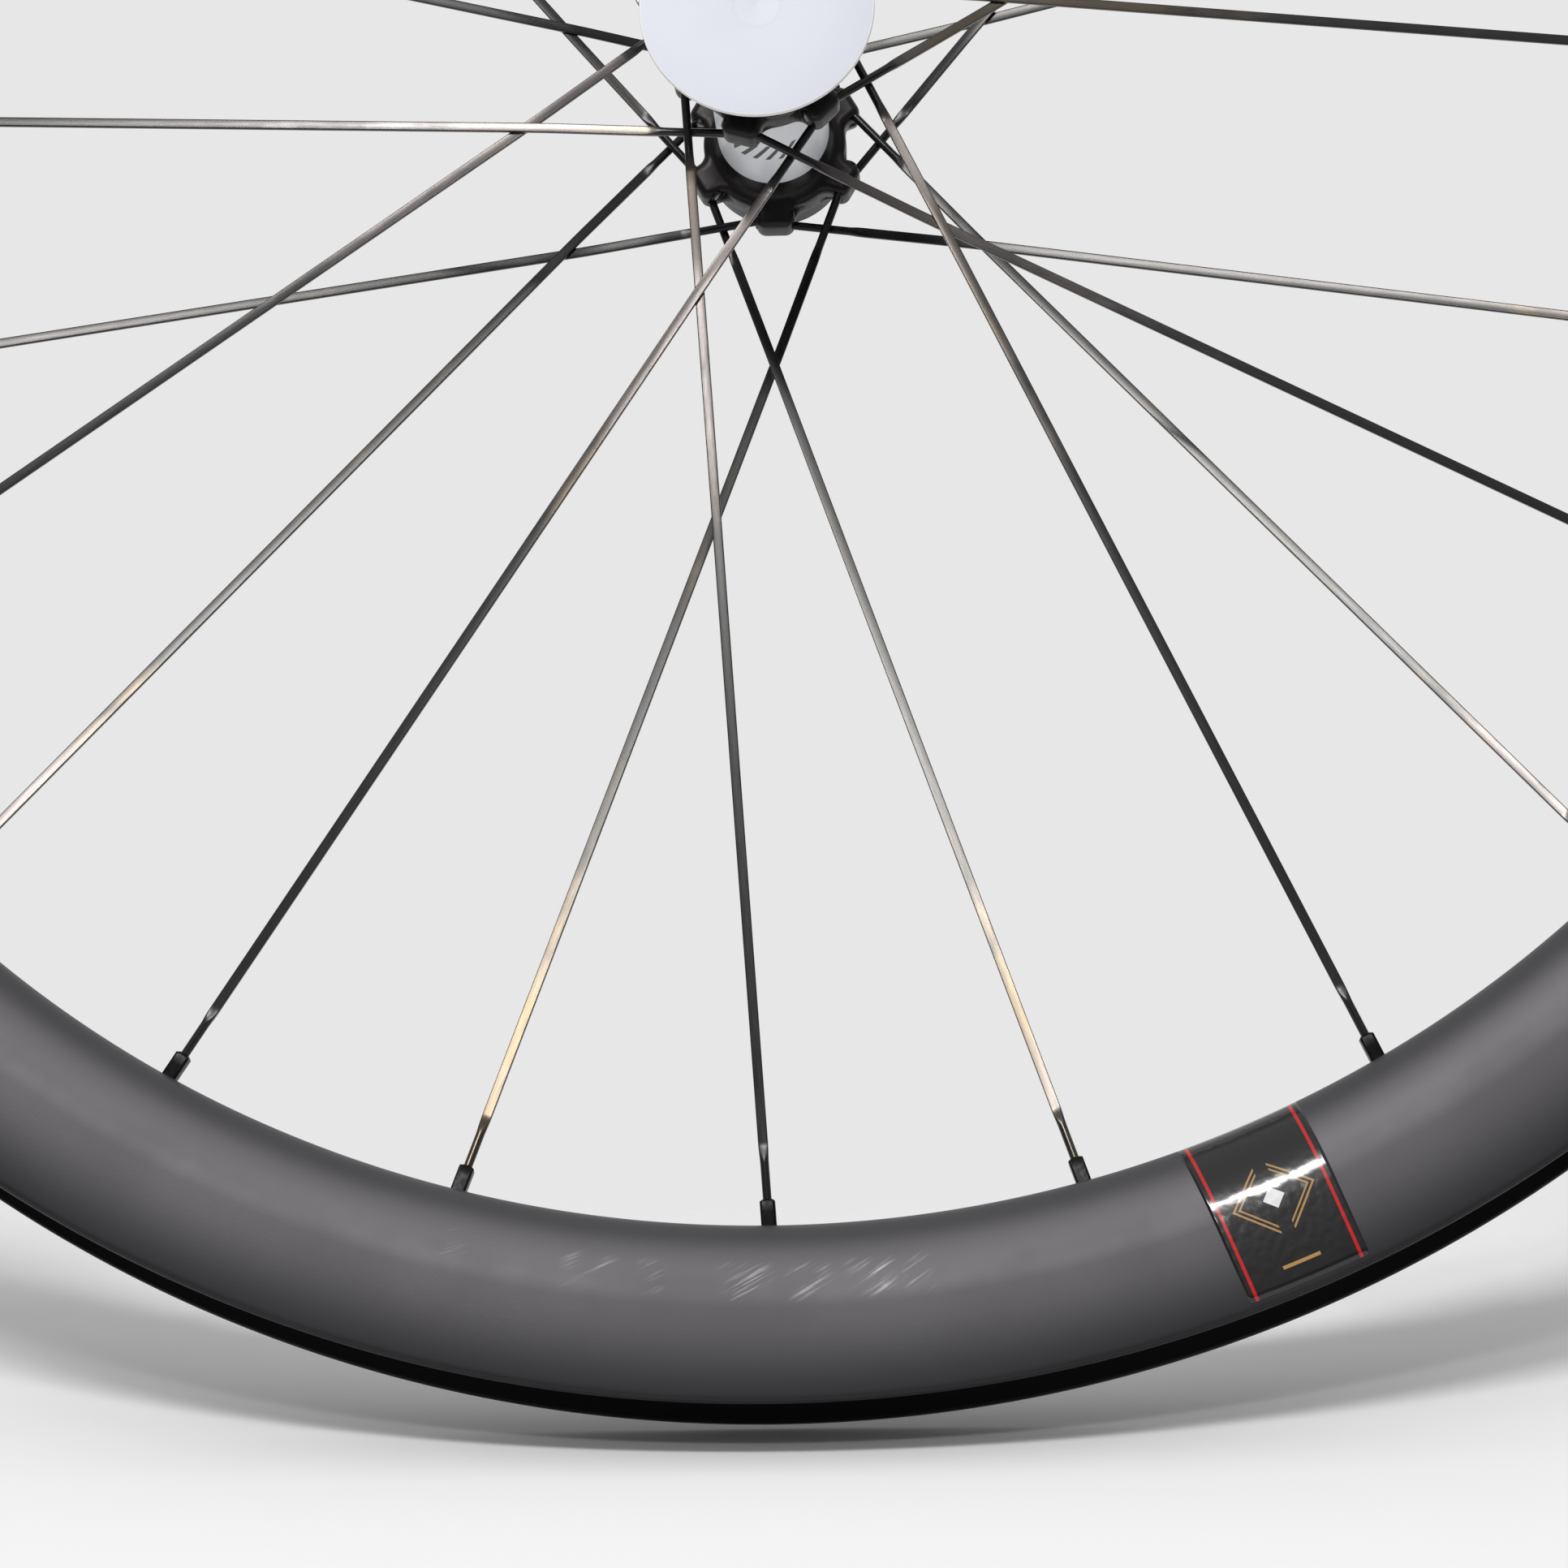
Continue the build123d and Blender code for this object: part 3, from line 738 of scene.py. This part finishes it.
oxide = Finish("black_oxide_steel")
u, v, _ = oxide.wrap()
_, y, _ = oxide.parts(oxide.place)
along = oxide.node("CombineXYZ", {0: u, 1: v}).outputs[0]
patina = oxide.grain((0.5, 0.05, 1), 4.0, 0.6, place=along)
scratches = oxide.grain((9.0, 0.12, 1), 3.0, 0.6, place=along)
far = oxide.math("GREATER_THAN", y, 0.0)
pressed = oxide.between(v, blade_start, flat_start)
# Painted sheen where the lamp's reflection falls, added below to random blotches of wear.
near_sheen = oxide.product(pressed, oxide.between(v, *near_sheen_span, 0.50, 0.0))
far_sheen = oxide.between(v, *far_sheen_span, 0.0, 0.45)
blotches = oxide.math("MULTIPLY_ADD", oxide.noise(9, 2.0, 0.5), 0.6, patina)
wear_and_sheen = oxide.math("ADD", blotches, oxide.mix(far, near_sheen, far_sheen))
wear_and_sheen = oxide.between(wear_and_sheen, 0.85, 1.30)
dark = oxide.mix(scratches, (0.0060, 0.0064, 0.0078), (0.0120, 0.0126, 0.0148))
oxide.vary(wear_and_sheen, dark, (0.020, 0.0195, 0.020), scratches, (0.18, 0.22), 0.0000015)
# Painted shade on the far blades' reflections by the hub; the near blades reflect a little more.
shine_and_shade = oxide.mix(far, (1.2, 1.2, 1.2), oxide.between(v, *far_hub_shade_span, 0.7, 1.0))
oxide.set(specular_ior_level=oxide.product(shine_and_shade, oxide.between(wear_and_sheen, 0.0, 1.0, 0.35, 0.66)))
gold = oxide.math("MULTIPLY_ADD", far, 0.16, oxide.noise(14, 2.0, 0.5))
bronze = oxide.mix(oxide.between(gold, 0.50, 0.66), (1.0, 0.90, 0.86), (1.0, 0.79, 0.53))
oxide.set(specular_tint=oxide.mix(wear_and_sheen, (1.0, 0.965, 0.925), bronze))
for name, grid in zip(spoke_names, spoke_grid):
    spoke = skin(f"bladed_{name}", grid, caps=True, uv=(around_spoke, spoke_rows))
    dress(spoke, oxide, "wheel", "spoke_black", name)

# %% [markdown]
# ## The nipples
# A nipple is a small aluminium nut: a square shank for the spoke key, chamfered at its top, a cone that
# seats in the rim and a head inside. It stands in line with its spoke, so it is one more section carried
# along the spokes' lines, boxy for the shank and round for the head, with twelve in each piece.

# %% Nipples
shank_half = 1.75
shank_square = 8.0
head_half = 2.8
head_height = 1.6

top = seat_distance - nipple_top
head_base = seat_distance + nipple_cone
place_half_square = np.array([
    (top, 1.1, 2.0),
    (top + 0.04, 1.24, 2.2),
    (top + 0.16, 1.36, 3.0),
    (top + 0.5, shank_half - 0.05, 6.5),
    (top + 0.6, shank_half, shank_square),
    (top + 3.0, shank_half, shank_square),
    (seat_distance - 0.2, shank_half, shank_square),
    (seat_distance, shank_half, 6.0),
    (head_base, head_half, round_square),
    (head_base + head_height - 0.15, head_half, round_square),
    (head_base + head_height, head_half - 0.2, round_square),
])
nipple_rows, nipple_half, nipple_square = place_half_square.T
nipple_grid = along_spokes(nipple_rows, nipple_half, nipple_half, nipple_square, columns=40)

anodised = Finish("black_anodised_nut", specular_ior_level=0.12)
mottle = anodised.noise(900, 4.0, 0.6)
rub = anodised.between(anodised.noise(260, 3.0, 0.6), 0.6, 0.78)
anodised.vary(rub, (0.0025, 0.0025, 0.0028), (0.010, 0.010, 0.011), mottle, (0.26, 0.40), 0.000008)
for word, grid in zip(("near", "far"), np.split(nipple_grid, 2)):
    nipples = skin(f"square_nipples_{word}", grid, caps=True, sharp=28)
    dress(nipples, anodised, "wheel", "nipple_black", f"{word}_nipples")

# %% [markdown]
# ## The flanges of the hub
# The shell is forged and turned: a slim barrel, two flanges with six lobes each, and splines for the brake
# rotor. Seen down the axle, a flange is a circle with six blunt fingers, so its radius is a function of the
# angle: flat tip, rounded corner, straight side, hollow fillet, valley. Setting the whole outline in by a
# little gives the rounded edges.

# %% Star outline
hub_columns = 720
lobe_tip = 21.9
lobe_corner = 2.4
valley = 17.2
valley_fillet = 3.2
hub_angle = np.linspace(0, 2 * pi, hub_columns, endpoint=False)


def star(start, inset):
    """Radius of the six-fingered outline at every angle, set in by a distance.

    With a the angle from the nearest finger's middle: tip / cos a on the tip, the corner circle's far side,
    half width / sin a on the side, the fillet circle's near side, and the valley's own radius.
    """
    inset = np.asarray(inset, float)[:, None]
    pitch = 2 * pi / lobes
    a = np.abs((hub_angle - radians(start) + pitch / 2) % pitch - pitch / 2)[None, :]
    half, reach, floor = lobe_width / 2 - inset, lobe_tip - inset, valley - inset
    corner = np.maximum(lobe_corner - inset, 0.15)
    fillet = valley_fillet + inset
    corner_x, corner_t = reach - corner, half - corner
    corner_far, corner_way = np.hypot(corner_x, corner_t), np.arctan2(corner_t, corner_x)
    fillet_far, fillet_t = floor + fillet, half + fillet
    fillet_x = np.sqrt(fillet_far**2 - fillet_t**2)
    fillet_way = np.arctan2(fillet_t, fillet_x)

    def circle(far, way, size, sign):
        beside = np.clip(size**2 - (far * np.sin(a - way)) ** 2, 0, None)
        return far * np.cos(a - way) + sign * np.sqrt(beside)

    tip_end, corner_end = np.arctan2(corner_t, reach), np.arctan2(half, corner_x)
    side_end = np.arctan2(half, fillet_x)
    radii = [
        reach / np.cos(a),
        circle(corner_far, corner_way, corner, 1),
        half / np.sin(np.maximum(a, 0.05)),
        circle(fillet_far, fillet_way, fillet, -1),
    ]
    return np.select([a < end for end in (tip_end, corner_end, side_end, fillet_way)], radii, floor)


print("lobe radii:", valley, "to", lobe_tip, "mm")

# %% Flange rows
edge_round = 2.0


def flange(start, first_face, second_face, first_least, second_least):
    """Rows over one flange from face to face: a rounded edge, the rim of the star and a rounded edge.

    On each half the radius stays above the least one, that of the part it grows out of.
    """
    swing = np.linspace(0, pi / 2, 7)
    set_in = edge_round * (1 - np.sin(swing))
    depth = edge_round * (1 - np.cos(swing))
    way = np.sign(second_face - first_face)
    inset = np.concatenate([set_in, set_in[::-1]])
    y = np.concatenate([first_face + way * depth, (second_face - way * depth)[::-1]])
    least = np.repeat([first_least, second_least], len(swing))[:, None]
    return np.maximum(star(start, inset), least), y


print("flange helper ready")

# %% [markdown]
# ## The hub shell
# The shell is one grid of angle against a walk along the section, closed both ways: spline, near flange,
# neck, barrel, neck, far flange, boss, and back through the bearing seats and the bore. The spoke holes are
# then drilled along the spokes' own lines, wide for the head and narrow for the wire.

# %% Hub shell mesh
near_in, near_out = -19.1, -27.5
far_in, far_out = 29.7, 38.1
near_end, far_end = -39.0, 42.6
barrel_radius = 13.2
barrel_near, barrel_far = -13.6, 23.5
neck_rise = 2.6
spline_teeth, tooth_steepness = 20, 3
spline_root, spline_tip = 16.0, 17.1
boss_radius = 17.0
seat_radius = 14.0
bore_radius = 11.0
near_bearing, far_bearing = -29.0, 33.0
end_chamfer, spline_runout = 0.5, 0.4
near_mouth, far_mouth = 0.3, 0.4


def ring(*radii):
    """Rows of plain circles, one for each radius."""
    return np.repeat(np.array(radii, float)[:, None], hub_columns, axis=1)


t = np.linspace(0, 1, 12)
neck_radius = barrel_radius + neck_rise * (1 - np.sqrt(1 - t**2))
neck_top = neck_radius[-1]
tooth = ease(np.cos(spline_teeth * hub_angle) * tooth_steepness + 0.5)
spline = spline_root + (spline_tip - spline_root) * tooth
spline_rows = np.stack([spline - end_chamfer, spline, spline, np.maximum(spline, spline_tip)])
boss = ring(boss_radius, boss_radius, boss_radius - end_chamfer, seat_radius + far_mouth)
shell_rows = [
    (ring(seat_radius + near_mouth), [near_end]),
    (spline_rows, [near_end, near_end + end_chamfer, near_out - spline_runout, near_out]),
    flange(near_first_lobe, near_out, near_in, spline_tip, neck_top),
    (ring(*neck_radius[::-1]), (barrel_near + t * (near_in - barrel_near))[::-1]),
    (ring(*neck_radius), barrel_far + t * (far_in - barrel_far)),
    flange(far_first_lobe, far_in, far_out, neck_top, boss_radius),
    (boss, [far_out, far_end - end_chamfer, far_end, far_end]),
    (ring(seat_radius, seat_radius, bore_radius), [far_end - far_mouth, far_bearing, far_bearing]),
    (ring(bore_radius, seat_radius, seat_radius), [near_bearing, near_bearing, near_end + near_mouth]),
]
shell_radius, shell_y = (np.concatenate(parts) for parts in zip(*shell_rows))
shell_x, shell_z = shell_radius * np.cos(hub_angle), shell_radius * np.sin(hub_angle)
shell_grid = np.stack(np.broadcast_arrays(shell_x, shell_y[:, None], shell_z), axis=-1)
hub = skin("star_hub_shell", shell_grid, closed_rows=True, sharp=30)
print("shell rows:", len(shell_y))

# %% Spoke holes and the hub's finish
place_radius = np.array([
    (lobe_entry - 6, 2.25),
    (lobe_entry - 0.25, 2.25),
    (lobe_entry, 1.9),
    (head_seat, 1.9),
    (head_seat + 0.02, 1.1),
    (lobe_exit + 6, 1.1),
])
hole_rows, hole_radius = place_radius.T
holes = along_spokes(hole_rows, hole_radius, hole_radius, round_square, columns=20)
cut_out(hub, skin("spoke_drills", holes, caps=True))

black = Finish("black_anodised_shell", specular_ior_level=0.3, specular_tint=(1.0, 0.93, 0.93))
satin = black.noise(500, 4.0, 0.6)
soft = black.noise(45, 2.0, 0.5)
black.vary(soft, (0.0032, 0.0028, 0.0028), (0.0066, 0.0056, 0.0055), satin, (0.34, 0.42), 0.000012)
dress(hub, black, "wheel", "hub_black", "hub_shell")

# %% [markdown]
# ## The barrel band
# A silver film with a row of slanted dark bars is wrapped round the barrel. It is a thin turned ring with
# softened edges. Its bars come from polar coordinates: the arc round the barrel, made to lean by a share of
# the place along it, is cut into equal steps, and each step starts with a bar.

# %% Barrel band
band_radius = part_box("barrel_band")[1].x / MM
band_inner = barrel_radius - 0.05
bar_pitch, bar_share, bar_lean = 3.1, 0.38, 0.45
bars_middle, bars_half = 4.0, 4.2
bars_angle, bars_half_angle = radians(-95), radians(34)

band_corners = [
    (band_inner, barrel_near, 0.02),
    (band_radius, barrel_near, 0.12),
    (band_radius, barrel_far, 0.12),
    (band_inner, barrel_far, 0.02),
]
band = skin("silver_barrel_band", turned(rounded(band_corners, 4), 240), closed_rows=True)

silver = Finish("silver_film", metallic=0.05, specular_ior_level=0.6)
angle, _, y = silver.polar()
lines = silver.grain((60, 5200, 60), 3.0, 0.6)
leaning = silver.math("MULTIPLY_ADD", y, bar_lean, silver.product(angle, band_radius))
step = silver.math("FRACT", silver.math("DIVIDE", leaning, bar_pitch))
bars = silver.product(
    silver.math("LESS_THAN", step, bar_share),
    silver.math("COMPARE", y, bars_middle, bars_half),
    silver.math("COMPARE", angle, bars_angle, bars_half_angle),
)
ground = silver.mix(lines, (0.885, 0.912, 0.962), (0.935, 0.955, 0.985))
silver.vary(bars, ground, (0.016, 0.018, 0.021), lines, (0.28, 0.40), 0.000006)
dress(band, silver, "wheel", "band_silver", "barrel_band")

# %% [markdown]
# ## End caps and seals
# The caps clamp the bearings and meet the fork, and a rubber lip on each keeps the bearing clean. Both are
# turned outlines. Near and far differ only in where their faces lie and which way they look, so one loop
# makes both.

# %% Finishes for caps and seals
lathe = Finish("black_anodised_cap", specular_ior_level=0.55)
rings = lathe.grain((30, 4000, 30), 2.0, 0.6)
haze = lathe.noise(350, 3.0, 0.6)
lathe.vary(haze, (0.011, 0.011, 0.012), (0.020, 0.0195, 0.020), rings, (0.24, 0.38), 0.000010)
rubber = Finish("seal_rubber", specular_ior_level=0.35)
specks = rubber.noise(1800, 5.0, 0.7)
rubber.vary(specks, (0.014, 0.014, 0.014), (0.034, 0.034, 0.035), specks, (0.62, 0.80), 0.00003)
print("finishes:", lathe.material.name, rubber.material.name)

# %% Caps and seals
axle_radius = 7.5
cap_bore = 6.05
cap_collar, cap_flange = 9.0, 10.0
flange_width = 4.0
seal_radius, seal_lip_radius = 13.7, 12.4
seal_gap, seal_shoulder, seal_lip = 0.7, 1.5, 2.3

for word, race_face, axle_end, outer_face, way in (("near", -36, -41, -50, -1), ("far", 40, 45, 50, 1)):
    cap_corners = [
        (axle_radius, race_face, 0.1),
        (cap_collar, race_face, 0.2),
        (cap_collar, outer_face - way * flange_width, 0.3),
        (cap_flange, outer_face - way * flange_width, 0.25),
        (cap_flange, outer_face, 0.5),
        (cap_bore, outer_face, 0.4),
        (cap_bore, axle_end, 0.05),
        (axle_radius, axle_end, 0.05),
    ]
    cap = skin(f"turned_cap_{word}", turned(rounded(cap_corners), 160), closed_rows=True)
    dress(cap, lathe, "axle_set", "cap_black", f"{word}_end_cap")
    seal_corners = [
        (cap_collar, race_face + way * seal_gap, 0.05),
        (seal_radius, race_face + way * seal_gap, 0.15),
        (seal_radius, race_face + way * seal_shoulder, 0.3),
        (seal_lip_radius, race_face + way * seal_lip, 0.4),
        (cap_collar, race_face + way * seal_lip, 0.05),
    ]
    seal = skin(f"lipped_seal_{word}", turned(rounded(seal_corners), 160), closed_rows=True)
    dress(seal, rubber, "axle_set", "seal_rubber", f"{word}_dust_seal")

# %% [markdown]
# ## The axle-end protector
# A soft milky disc is plugged into the near end of the axle for transport. It is one turned outline: face,
# edge, back, collar and hollow peg. Milky plastic would ask for light inside the body, but so thin a disc in
# a bright room looks the same as a pale surface, which renders faster. So the light in the plastic is
# painted instead: a painted glow makes the edge paler, and a faint painted shade ring lies where the peg
# grows out of the back. The middle inside the peg is a little lighter.

# %% Protector
disc_radius, disc_face, disc_back = 27.0, -53.6, -52.0
collar_radius, collar_end = 8.5, -50.0
peg_radius, peg_end = 5.99, -41.0
hollow_radius = 4.69
pole = 0.02
peg_ring, peg_ring_half = 5.3, 0.45
middle_edge = (4.5, 6.0)
edge_glow_span = (26.4, 26.8)

disc_corners = [
    (pole, disc_face, 0.01),
    (disc_radius, disc_face, 0.6),
    (disc_radius, disc_back, 0.4),
    (collar_radius, disc_back, 0.5),
    (collar_radius, collar_end, 0.3),
    (peg_radius, collar_end, 0.05),
    (peg_radius, peg_end, 0.4),
    (hollow_radius, peg_end, 0.3),
    (hollow_radius, disc_back, 0.6),
    (pole, disc_back, 0.01),
]
disc = skin("milky_axle_disc", turned(rounded(disc_corners), 240), caps=True)

milky = Finish("milky_plastic", roughness=0.42, specular_ior_level=0.45)
_, radius, _ = milky.polar()
ground = milky.mix(milky.noise(90, 4.0, 0.55), (0.615, 0.637, 0.718), (0.658, 0.675, 0.738))
# Painted shade: a faint darker ring where the peg grows out of the back.
peg_shade_ring = milky.product(milky.math("COMPARE", radius, peg_ring, peg_ring_half), 0.35)
ground = milky.mix(peg_shade_ring, ground, (0.53, 0.555, 0.655))
ground = milky.mix(milky.between(radius, *middle_edge), (0.655, 0.672, 0.737), ground)
# Painted glow: the disc's edge is made paler.
milky.set(base_color=milky.mix(milky.between(radius, *edge_glow_span), ground, (0.96, 0.96, 0.97)))
milky.bump(milky.noise(60, 2.0), 0.00004)
dress(disc, milky, "axle_set", "protector_plastic", "axle_end_protector")

# %% [markdown]
# ## What stays as the solids have it
# The axle tube and the bearings are plain turned shapes that the shell and the caps nearly hide. Their
# solids are right as they are and only get finishes: turned aluminium with fine lathe rings, ground steel,
# and the seals' rubber.

# %% Finishes for the inner parts
def metal(name, low, high, rough):
    """Turned metal: fine rings across the axle vary its colour, roughness and relief."""
    made = Finish(name, metallic=1.0)
    cut_rings = made.grain((40, 6000, 40), 3.0, 0.6)
    made.vary(cut_rings, low, high, cut_rings, (rough, rough + 0.12), 0.000008)
    return made


alloy = metal("turned_aluminium", (0.50, 0.50, 0.52), (0.62, 0.62, 0.64), 0.28)
steel = metal("ground_steel", (0.46, 0.46, 0.47), (0.58, 0.58, 0.59), 0.18)
inner_finish = {"axle": alloy}
for word in ("near", "far"):
    inner_finish |= {f"{word}_inner_race": steel, f"{word}_outer_race": steel}
    inner_finish[f"{word}_bearing_shields"] = rubber
for name, finish in inner_finish.items():
    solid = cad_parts[name]
    solid.data.materials.clear()
    solid.data.materials.append(finish.material)
print("finished solids:", sorted(inner_finish))

# %% [markdown]
# ## The floor
# The wheel leans back by about thirty degrees, so in its own frame the floor is tilted and touches the far
# lip. The pale paper fades out at its edges, where the pale room takes over without a line. It is clear from
# below, so that it hides nothing from behind.

# %% Floor
lean = radians(31.0)
floor_sink = 0.6
floor_half_width, floor_front, floor_end = 900, -900, 800
back_fade = (85, 190)
front_fade = (-880, -620)
side_fade = (450, 880)

floor_up = np.array([0, -sin(lean), cos(lean)])
floor_back = np.array([0, cos(lean), sin(lean)])
touch = np.array([0, lip_half, -rim_outer]) - floor_sink * floor_up
floor_u = np.linspace(-floor_half_width, floor_half_width, 3)
floor_v = np.linspace(floor_front, floor_end, 3)
floor_grid = touch + np.outer(floor_u, [1, 0, 0]) + np.outer(floor_v, floor_back)[:, None]
floor = skin("floor", floor_grid, closed_columns=False, uv=(floor_u, floor_v))

paper = Finish("pale_paper", roughness=0.75, specular_ior_level=0.2)
u, v, _ = paper.wrap()
fibre = paper.noise(60, 4.0, 0.6)
paper.set(base_color=paper.mix(fibre, (0.940, 0.940, 0.936), (0.952, 0.952, 0.948)))
viewer = paper.node("NewGeometry").outputs["Incoming"]
seen_paper = paper.product(
    paper.between(v, *back_fade, 1.0, 0.0),
    paper.between(v, *front_fade),
    paper.between(paper.math("ABSOLUTE", u), *side_fade, 1.0, 0.0),
    paper.math("GREATER_THAN", paper.share(viewer, floor_up), 0.0),
)
paper.set(alpha=seen_paper)
floor.data.materials.append(paper.material)
print("floor tilt:", round(degrees(lean), 1), "degrees")

# %% [markdown]
# ## The lamps
# The light is a studio's: one wide, shallow lamp in front and above, a little to the left, which the glossy
# film shows as a white streak and the blades as a bright stretch, and a small one below it for the blades
# close to the hub.

# %% Lamps
light_aim = Vector((0, 0, -0.15))
lamp_radiance = 42.0


def soft_box(name, azimuth, elevation, distance, width, height):
    """Rectangular lamp seen from the wheel at an azimuth and elevation; its size is given as two angles.

    Its power is radiance * pi * area, so that it looks equally bright at any distance.
    """
    azimuth, elevation = radians(azimuth), radians(elevation)
    towards = Vector((sin(azimuth) * cos(elevation), -cos(azimuth) * cos(elevation), sin(elevation)))
    lamp = bpy.data.lights.new(name, "AREA")
    lamp.shape = "RECTANGLE"
    lamp.size = 2 * distance * tan(radians(width) / 2)
    lamp.size_y = 2 * distance * tan(radians(height) / 2)
    lamp.energy = lamp_radiance * pi * lamp.size * lamp.size_y
    lit = bpy.data.objects.new(name, lamp)
    lit.location = light_aim + towards * distance
    lit.rotation_mode = "QUATERNION"
    lit.rotation_quaternion = towards.to_track_quat("Z", "Y")
    lit.visible_camera = False
    bpy.context.scene.collection.objects.link(lit)
    print(f"{name}: {lamp.size:.2f} x {lamp.size_y:.2f} m, {lamp.energy:.0f} W")


soft_box("key_lamp", azimuth=-9, elevation=26.6, distance=2.8, width=24, height=5)
soft_box("front_strip", azimuth=-4.5, elevation=12.6, distance=2.6, width=8, height=3.4)

# %% [markdown]
# ## The room
# The room is pale behind the wheel, glows softly overhead and is dim behind the camera, and that dimness is
# what the black blades mirror elsewhere. What camera, mirrors and clear bodies see is set apart from what
# lights matt surfaces, so that the background is pale and the floor keeps its shadow.

# %% Room
world = bpy.data.worlds.new("room")
bpy.context.scene.world = world
world.use_nodes = True
room = Nodes(world.node_tree)
direction = room.node("TexCoord").outputs["Generated"]
ray = room.node("LightPath").outputs


def brightness(at_back, overhead):
    """Brightness of the room: a glow that eases up to one level at the back, plus another overhead."""
    back_glow = room.between(room.share(direction, (0, 1, 0)), -0.30, 0.40, 0.20, at_back)
    top_glow = room.between(room.share(direction, floor_up), 0.40, 0.95, 0.0, overhead)
    return room.math("ADD", back_glow, top_glow)


mirrored = room.math("MAXIMUM", ray["Is Glossy Ray"], ray["Is Transmission Ray"])
shown = room.math("MAXIMUM", ray["Is Camera Ray"], mirrored)
level = room.mix(shown, brightness(at_back=0.36, overhead=0.56), brightness(at_back=0.80, overhead=0.44))
room.feed(room.tree.nodes["Background"].inputs["Color"], level)
bpy.context.scene.view_settings.view_transform = "Standard"
print("room nodes:", len(room.tree.nodes))
